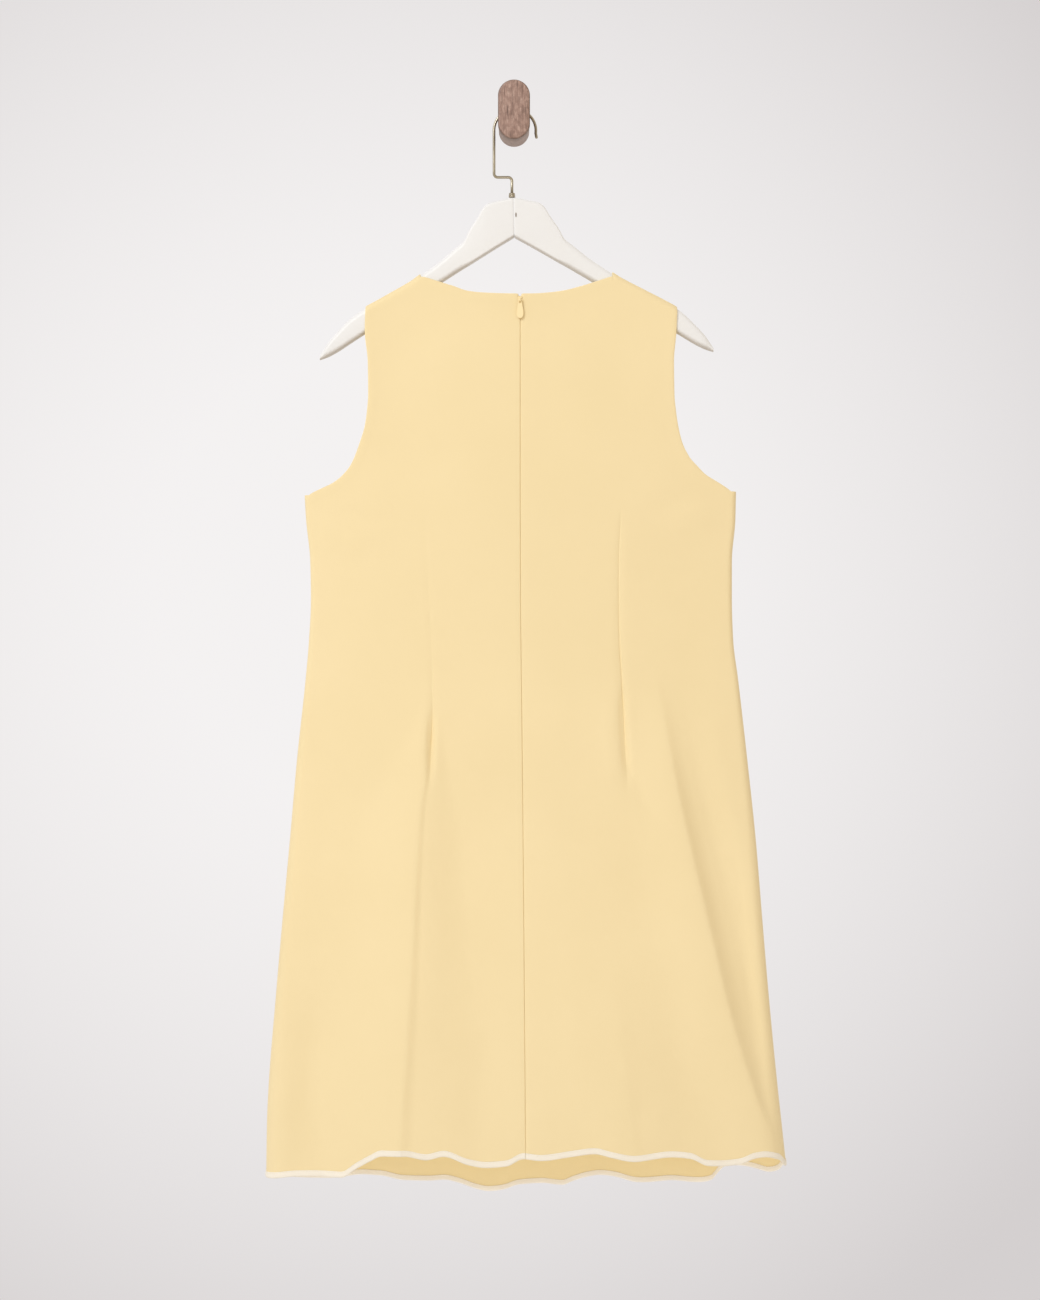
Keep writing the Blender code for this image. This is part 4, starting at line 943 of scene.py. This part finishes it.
def hanger_hook(material):
    """Ribbed collar, square bend and open round hook with a rounded end."""
    foot = np.array([HOOK_STEM_X, HOOK_FOOT_Z])
    square = np.array([HOOK_STEM_X, HOOK_BEND_Z])
    corner = np.array([HOOK_RISE_X, HOOK_BEND_Z])
    centre = np.array([HOOK_CENTRE_X, HOOK_CENTRE_Z])
    path = [foot + (0, rise) for rise, _ in COLLAR]
    radii = [radius for _, radius in COLLAR]
    bend(path, foot, square, corner)
    bend(path, square, corner, centre - (HOOK_RADIUS, 0))
    for turn in math.pi - np.linspace(0, HOOK_TURN, HOOK_STEPS):
        path.append(centre + HOOK_RADIUS * np.array([math.cos(turn), math.sin(turn)]))
    last = path[-1]
    path += [last + HOOK_END / 2, last + HOOK_END]
    radii += [WIRE / 2] * (len(path) - len(radii))
    for out, share in HOOK_TIP:
        path.append(last + HOOK_END + unit(HOOK_END) * out)
        radii.append(WIRE / 2 * share)
    cos, sin = circle(WIRE_SIDES)
    rings = []
    for k, (point, radius) in enumerate(zip(path, radii)):
        way = path[min(k + 1, len(path) - 1)] - path[max(k - 1, 0)]
        out = unit(np.array([way[1], -way[0]])) * radius
        rings.append(np.stack([point[0] + out[0] * cos, HANG_Y + radius * sin,
                               point[1] + out[1] * cos], axis=1))
    return tube_of_rings("hanger_hook_wire", rings, material)


def peg(material):
    """Round stem against the wall, with a tall flat plate on its end. Its first UV direction
    runs from 0 at the wall over the plate's rim to 1 at its face."""
    back, face = -STEM_LENGTH, -STEM_LENGTH - PLATE_THICK
    # Each ring's place along the first UV direction, its y, radius and rise.
    rings = [(0.0, 0.0, STEM_RADIUS - STEM_EDGE, 0.0), (0.1, -STEM_EDGE, STEM_RADIUS, 0.0),
             (0.3, back + 0.5, STEM_RADIUS, 0.0), (0.45, back, STEM_RADIUS - 0.05, 0.0),
             (0.5, back, PLATE_RADIUS - PLATE_BACK_EDGE, PLATE_RISE)]
    for k, turn in enumerate(np.linspace(0, QUARTER, 7)[1:]):
        rings.append((0.52 + 0.02 * k, back - PLATE_BACK_EDGE * (1 - math.cos(turn)),
                      PLATE_RADIUS - PLATE_BACK_EDGE * (1 - math.sin(turn)), PLATE_RISE))
    for k, turn in enumerate(np.linspace(0, QUARTER, 9)):
        rings.append((0.68 + 0.04 * k, face + PLATE_FACE_EDGE * (1 - math.sin(turn)),
                      PLATE_RADIUS - PLATE_FACE_EDGE * (1 - math.cos(turn)), PLATE_RISE))
    cos, sin = circle(PEG_SIDES, 0.5)
    points = [np.stack([radius * cos, 0 * cos + y, rise * (sin > 0) + radius * sin], axis=1)
              for _, y, radius, rise in rings]
    uvs = [(ring[0], 0.0) for ring in rings for _ in range(PEG_SIDES)]
    return tube_of_rings("peg_wood", points, material, uvs)


def notch(material):
    """Small dark slot above the joint, on the right arm: a flat patch whose dark colour is
    painted shade over end grain.
    """
    cos, sin = circle(WIRE_SIDES)
    rings = [np.stack([NOTCH_X + NOTCH_HALF[0] * share * cos, 0 * cos + HANG_Y - BOARD / 2 - out,
                       NOTCH_Z + NOTCH_HALF[1] * share * sin], axis=1)
             for out, share in NOTCH_RINGS]
    return tube_of_rings("hanger_notch", rings, material)


# ------------------------ materials

class Nodes:
    """Short calls for the nodes of a tree."""

    def __init__(self, tree):
        self.tree = tree

    def node(self, kind, *inputs, operation=None, **sockets):
        """A new node, fed by the number or the name of its sockets."""
        node = self.tree.nodes.new("ShaderNode" + kind)
        if operation:
            node.operation = operation
        for key, value in [*enumerate(inputs), *sockets.items()]:
            self.feed(node, key, value)
        return node

    def feed(self, node, key, value):
        socket = node.inputs[key.replace("_", " ") if isinstance(key, str) else key]
        if isinstance(value, bpy.types.NodeSocket):
            self.tree.links.new(value, socket)
        else:
            socket.default_value = (*value, 1.0) if socket.type == "RGBA" else value

    def ramp(self, value, *stops):
        node = self.node("ValToRGB", value)
        elements = node.color_ramp.elements
        while len(elements) < len(stops):
            elements.new(0.5)
        for element, (position, colour) in zip(elements, stops):
            element.position = position
            element.color = (*colour, 1.0)
        return node.outputs["Color"]


class Surface(Nodes):
    """A Principled material with short calls for its procedural looks."""

    def __init__(self, name, **values):
        self.material = bpy.data.materials.new(name)
        self.material.use_nodes = True
        super().__init__(self.material.node_tree)
        for key, value in values.items():
            self.shade(key, value)
        place = self.node("TexCoord").outputs
        self.place, self.along = place["Object"], place["UV"]

    def shade(self, key, value):
        self.feed(self.tree.nodes["Principled BSDF"], key, value)

    def colour(self, output):
        self.shade("Base_Color", output)

    def rough(self, height, low, high):
        """Roughness from low to high over the middle of a noise."""
        self.shade("Roughness", self.span(height, 0.3, 0.7, low, high))

    def bump(self, height, distance, strength=1.0):
        node = self.node("Bump", Height=height, Distance=distance, Strength=strength)
        self.shade("Normal", node.outputs["Normal"])

    def stretched(self, scale):
        return self.node("Mapping", self.place, Scale=scale).outputs["Vector"]

    def noise(self, scale, detail=2.0, rough=0.5, vector=None):
        return self.node("TexNoise", Vector=vector or self.place, Scale=scale, Detail=detail,
                         Roughness=rough).outputs["Fac"]

    def cells(self, scale):
        return self.node("TexVoronoi", Vector=self.place, Scale=scale).outputs["Distance"]

    def ribs(self, scale, distortion, direction="X"):
        """Ribs of a weave, along a piece's UVs."""
        node = self.node("TexWave", Vector=self.along, Scale=scale, Distortion=distortion)
        node.bands_direction = direction
        return node.outputs["Fac"]

    def uv(self, axis):
        return self.node("SeparateXYZ", self.along).outputs[axis]

    def tone(self, scale, first, second, detail=2.0):
        """Two close tones that pass into each other by a noise."""
        return self.ramp(self.noise(scale, detail), (0.3, first), (0.7, second))

    def mix(self, factor, first, second):
        node = self.node("Mix", factor)
        node.data_type = "RGBA"
        for key, value in ((6, first), (7, second)):
            self.feed(node, key, value)
        return node.outputs[2]

    def span(self, value, low, high, to_low, to_high):
        return self.node("MapRange", value, low, high, to_low, to_high).outputs["Result"]

    def add(self, first, second, share):
        """The first value plus a share of the second."""
        return self.node("Math", second, share, first, operation="MULTIPLY_ADD").outputs[0]


def plain(name, noise, tones, rough_scale, rough, bump=None, **values):
    """A material in two close tones, with uneven roughness and perhaps a fine bump."""
    s = Surface(name, **values)
    s.colour(s.mix(s.noise(*noise), *tones))
    s.rough(s.noise(rough_scale), *rough)
    if bump:
        scale, distance, strength = bump
        s.bump(s.noise(scale), distance, strength)
    return s.material


INSIDE_PAINTED_GLOW = 0.10                 # painted glow on the cloth's inside, for light that thin cloth lets through
FRONT_PAINTED_GLOW = 0.14           # and painted glow on the front's binding


def crepe_cloth():
    """Matte butter-yellow crepe: a fine pebbled weave with faint uneven tone. Its wrong side,
    where the first UV value is 1, is painted paler and glowing, as painted light through the
    cloth."""
    s = Surface("butter_crepe", Sheen_Weight=0.15, Sheen_Roughness=0.5, Specular_IOR_Level=0.2,
                Emission_Color=(0.93, 0.78, 0.46))
    inside, grain = s.uv("X"), s.cells(1500.0)
    tone = s.tone(7.0, (0.855, 0.720, 0.443), (0.875, 0.740, 0.463), 3.0)
    # painted light on the wrong side: a paler colour, for light through the thin cloth
    tone = s.mix(inside, tone, (0.93, 0.80, 0.49))
    s.colour(s.mix(s.span(grain, 0.0, 0.6, 0.10, 0.0), tone, (0.79, 0.635, 0.35)))
    # painted glow on the wrong side, for light through the thin cloth
    s.shade("Emission_Strength", s.span(inside, 0.0, 1.0, 0.0, INSIDE_PAINTED_GLOW))
    s.rough(s.noise(420.0), 0.82, 0.95)
    pebble = s.add(grain, s.noise(2100.0, 3.0, 0.6), 0.8)
    s.bump(s.add(pebble, s.noise(260.0), 0.7), 0.00010, 0.6)
    return s.material


def cream_cloth(name, through):
    """Off-white binding in a fine diagonal weave. `through` is the strength of its painted glow,
    for light that the cloth lets through.
    """
    # painted glow: emission of strength `through`
    s = Surface(name, Sheen_Weight=0.2, Sheen_Roughness=0.5, Specular_IOR_Level=0.25,
                Emission_Strength=through, Emission_Color=(0.92, 0.88, 0.80))
    rib = s.ribs(420.0, 0.6, "DIAGONAL")
    tone = s.tone(30.0, (0.87, 0.83, 0.75), (0.91, 0.88, 0.81))
    s.colour(s.mix(s.span(rib, 0.0, 1.0, 0.12, 0.0), tone, (0.72, 0.62, 0.48)))
    s.rough(s.noise(300.0), 0.72, 0.88)
    s.bump(s.add(rib, s.noise(1500.0), 0.5), 0.00008, 0.5)
    return s.material


def tape_cloth():
    """Zip tape: a tight ribbed weave."""
    s = Surface("zip_tape", Sheen_Weight=0.15)
    rib = s.ribs(260.0, 0.2)
    tone = s.tone(60.0, (0.84, 0.64, 0.33), (0.88, 0.70, 0.40))
    s.colour(s.mix(s.span(rib, 0.0, 1.0, 0.2, 0.0), tone, (0.62, 0.45, 0.22)))
    s.rough(s.noise(400.0), 0.7, 0.9)
    s.bump(rib, 0.00008, 0.6)
    return s.material


def cream_thread():
    return plain("cream_thread", (900.0,), ((0.88, 0.82, 0.70), (0.80, 0.73, 0.60)),
                 700.0, (0.55, 0.75), (4000.0, 0.00004, 0.6), Sheen_Weight=0.2)


def zip_nylon():
    return plain("zip_coil_nylon", (500.0,), ((0.86, 0.70, 0.42), (0.80, 0.62, 0.34)),
                 600.0, (0.38, 0.52), (2500.0, 0.00002, 0.4))


def zip_enamel():
    """Slider and tab in butter-coloured enamel, rubbed a little."""
    s = Surface("zip_enamel", Coat_Weight=0.3, Coat_Roughness=0.25)
    wear = s.span(s.noise(900.0, 4.0, 0.7), 0.62, 0.75, 0.0, 0.5)
    s.colour(s.mix(wear, (0.93, 0.78, 0.47), (0.74, 0.62, 0.40)))
    s.rough(s.noise(700.0), 0.30, 0.46)
    s.bump(s.noise(1600.0, 3.0), 0.00003, 0.4)
    return s.material


def white_paint():
    """Satin white paint over wood: faint brush lines along the arm, a few small marks, and
    painted shade along the lower edge, grey and broken up by the brush lines."""
    s = Surface("white_paint", Coat_Weight=0.1, Coat_Roughness=0.3)
    brush = s.noise(60.0, 5.0, 0.65, s.stretched((1.0, 12.0, 9.0)))
    tone = s.tone(11.0, (0.80, 0.815, 0.85), (0.83, 0.845, 0.88), 3.0)
    # painted shade: the lower edge, by the second UV value, is mixed towards grey
    edge = s.span(s.uv("Y"), 0.22, 0.46, 0.75, 0.0)
    tone = s.mix(s.span(s.add(edge, brush, 0.3), 0.2, 0.85, 0.0, 0.8), tone, (0.50, 0.475, 0.455))
    marks = s.span(s.noise(95.0, 5.0, 0.75), 0.66, 0.78, 0.0, 0.35)
    s.colour(s.mix(marks, tone, (0.62, 0.57, 0.50)))
    s.rough(brush, 0.36, 0.52)
    s.bump(brush, 0.00012, 0.35)
    return s.material


def brass_metal():
    """Old brass wire, grey-brown and handled, brighter in places."""
    s = Surface("brass", Metallic=1.0)
    dull = s.noise(55.0, 3.0, 0.5)
    s.colour(s.ramp(dull, (0.3, (0.34, 0.31, 0.25)), (0.55, (0.44, 0.40, 0.32)),
                    (0.75, (0.60, 0.54, 0.42))))
    s.rough(dull, 0.26, 0.44)
    s.bump(s.noise(1800.0, 3.0), 0.00003, 0.3)
    return s.material


def walnut_wood():
    """Oiled walnut, its grain running down the plate, mottled, with painted shade on the stem,
    behind the plate and round its rim.
    """
    s = Surface("walnut", Coat_Weight=0.08, Coat_Roughness=0.4)
    grain = s.noise(240.0, 6.0, 0.7, s.stretched((1.0, 1.0, 0.3)))
    pores = s.noise(900.0, 2.0, 0.5, s.stretched((1.0, 1.0, 0.06)))
    mottle = s.noise(170.0, 5.0, 0.65)
    wood = s.ramp(grain, (0.30, (0.19, 0.115, 0.094)), (0.50, (0.37, 0.238, 0.20)),
                  (0.68, (0.53, 0.38, 0.33)))
    wood = s.mix(s.span(mottle, 0.45, 0.60, 0.0, 0.6), wood, (0.21, 0.128, 0.105))
    wood = s.mix(s.span(pores, 0.58, 0.70, 0.0, 0.7), wood, (0.10, 0.058, 0.046))
    # painted shade by the first UV direction: on the stem, darkest behind the plate, and round
    # the rim, but not on the face
    rim = s.ramp(s.uv("X"), (0.35, (0.4,) * 3), (0.50, (0.85,) * 3), (0.80, (0.6,) * 3),
                 (0.93, (0.0,) * 3))
    s.colour(s.mix(rim, wood, (0.115, 0.075, 0.06)))
    s.rough(grain, 0.46, 0.62)
    s.bump(s.add(grain, pores, 0.6), 0.0002, 0.4)
    return s.material


def notch_shade():
    """Shaded end grain in the hanger's small notch."""
    return plain("notch_shade", (500.0,), ((0.16, 0.12, 0.09), (0.24, 0.19, 0.15)),
                 300.0, (0.6, 0.8))


def pale_floor():
    return plain("pale_floor", (1.5, 3.0), ((0.80, 0.79, 0.775), (0.82, 0.81, 0.80)),
                 4.0, (0.7, 0.85))


# ------------------------ the dress and its hanger

WELD = 0.000005                # metres
EASED_EDGE = 0.00014           # metres


def belongs(piece, body, slot, *nodes):
    """The piece in its body, in place of the solids named by `nodes`. `slot` is not used."""
    if nodes:
        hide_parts(*nodes)
    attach(piece, body)
    return piece


def dress():
    cloth, tape, thread = crepe_cloth(), tape_cloth(), cream_thread()
    cream = cream_cloth("cream_binding", 0.0)
    # the front's binding is given a painted glow, for light through the cloth
    painted_glow_binding = cream_cloth("cream_binding_front", FRONT_PAINTED_GLOW)
    left, right = back_panels()
    shapes = {"back_left": left, "back_right": right, "front": front_panel()}
    pieces, trims = {}, {}
    for key, shape in shapes.items():
        pieces[key] = belongs(shape.wall(key + "_cloth", cloth), "dress", "butter_crepe",
                              key + "_panel")
        binding = hem_binding("hem_" + key, shape, painted_glow_binding if key == "front" else cream)
        trims[key] = [belongs(binding, "dress", "cream_binding", "hem_binding_" + key)]
        for word, side in (("outside", 1), ("inside", -1)):
            row = binding_stitches(f"hem_stitches_{key}_{word}", shape, side, thread)
            trims[key].append(belongs(row, "dress", "cream_binding"))
    for key, node in (("back_left", "zip_tape_left"), ("back_right", "zip_tape_right")):
        strip = zip_tape(node + "_cloth", shapes[key], tape)
        trims[key].append(belongs(strip, "dress", "zip_tape", node))
    belongs(zip_coil((left, right), zip_nylon()), "dress", "zip_tape")


def zip_metal():
    """The slider and its tab keep their solids' form, with eased edges."""
    enamel = zip_enamel()
    for name in ("zip_slider", "zip_pull_tab"):
        node = frame["nodes"][name]
        node.data.materials.clear()
        node.data.materials.append(enamel)
        weld = node.modifiers.new("weld", "WELD")
        weld.merge_threshold = WELD
        eased = node.modifiers.new("eased_edges", "BEVEL")
        eased.width = EASED_EDGE
        eased.segments = 2
        eased.limit_method = "ANGLE"


def hanger():
    paint = white_paint()
    for side, word in ((-1, "left"), (1, "right")):
        arm = hanger_arm(f"hanger_arm_{word}_wood", side, paint)
        belongs(arm, "dress", "white_paint", "hanger_arm_" + word)
    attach(notch(notch_shade()), "dress")
    belongs(hanger_hook(brass_metal()), "dress", "brass", "hanger_hook")
    belongs(peg(walnut_wood()), "dress", "walnut", "wall_peg")


# ------------------------ stage, light and camera

# Places and sizes here are in metres, and powers in watts.
KEY_LIGHT, LOW_LIGHT = 90.0, 17.0
KEY_PLACE, KEY_TARGET, KEY_SIZE = (-2.0, -3.0, 1.9), (0.0, -0.03, -0.6), (1.8, 1.8)
LOW_PLACE, LOW_TARGET, LOW_SIZE = (0.5, -3.4, -2.1), (0.0, -0.03, -1.1), (2.0, 1.2)
KEY_COLOUR, LOW_COLOUR = (0.88, 0.94, 1.0), (1.0, 0.93, 0.85)
ROOM_COLOUR, WALL_COLOUR = (0.675, 0.59, 0.475), (1.0, 0.95, 0.90)     # of the light all round
BACKDROP_WAY = (-0.10, 1.0, 0.03)          # towards the backdrop's brightest place
BACKDROP_WIDEN = (0.55, 1.0, 1.0)          # it is wider than tall
FLOOR_PLACE, FLOOR_RADIUS, FLOOR_SIDES = (0.0, -0.1, -1.62), 1.35, 96
CAMERA_PLACE = (0.0064, -2.634, -0.55965)
CAMERA_LENS, CAMERA_SENSOR = 67.54, 36.0   # in millimetres


def area_light(name, place, target, size, power, colour):
    data = bpy.data.lights.new(name, "AREA")
    data.shape = "RECTANGLE"
    data.size, data.size_y = size
    data.energy = power
    data.color = colour
    lamp = bpy.data.objects.new(name, data)
    lamp.location = place
    lamp.rotation_euler = (Vector(target) - Vector(place)).to_track_quat("-Z", "Y").to_euler()
    bpy.context.scene.collection.objects.link(lamp)


def soft_world():
    """Light from all round, brighter from the pale wall's side, and a plain pale backdrop."""
    world = bpy.data.worlds.new("soft_studio")
    world.use_nodes = True
    bpy.context.scene.world = world
    n = Nodes(world.node_tree)
    way = n.node("TexCoord").outputs["Generated"]
    depth = n.node("SeparateXYZ", way).outputs["Y"]
    room = n.tree.nodes["Background"]
    n.feed(room, "Color", n.ramp(depth, (0.0, ROOM_COLOUR), (0.35, WALL_COLOUR)))

    wide = n.node("VectorMath", way, BACKDROP_WIDEN, operation="MULTIPLY").outputs["Vector"]
    toward = n.node("VectorMath", wide, Vector(BACKDROP_WAY).normalized(),
                    operation="DOT_PRODUCT").outputs["Value"]
    shade = n.ramp(toward, (0.935, (0.66, 0.63, 0.63)), (0.992, (0.905, 0.885, 0.883)))
    backdrop = n.node("Background", shade)
    seen = n.node("LightPath").outputs["Is Camera Ray"]
    choice = n.node("MixShader", seen, room.outputs[0], backdrop.outputs[0])
    n.feed(n.tree.nodes["World Output"], "Surface", choice.outputs["Shader"])


def studio():
    """Even daylight, with a large soft light from the upper left and a weak one from below."""
    bpy.context.scene.view_settings.view_transform = "Standard"
    soft_world()
    area_light("key", KEY_PLACE, KEY_TARGET, KEY_SIZE, KEY_LIGHT, KEY_COLOUR)
    area_light("low_front", LOW_PLACE, LOW_TARGET, LOW_SIZE, LOW_LIGHT, LOW_COLOUR)

    bpy.ops.mesh.primitive_circle_add(vertices=FLOOR_SIDES, radius=FLOOR_RADIUS,
                                      fill_type="NGON", location=FLOOR_PLACE)
    floor = bpy.context.object
    floor.name = "pale_floor"
    floor.data.materials.append(pale_floor())


def camera():
    data = bpy.data.cameras.new("camera")
    data.lens = CAMERA_LENS
    data.sensor_width = CAMERA_SENSOR
    thing = bpy.data.objects.new("camera", data)
    thing.location = CAMERA_PLACE
    thing.rotation_euler = (QUARTER, 0.0, 0.0)
    bpy.context.scene.collection.objects.link(thing)
    bpy.context.scene.camera = thing


camera()
dress()
zip_metal()
hanger()
studio()
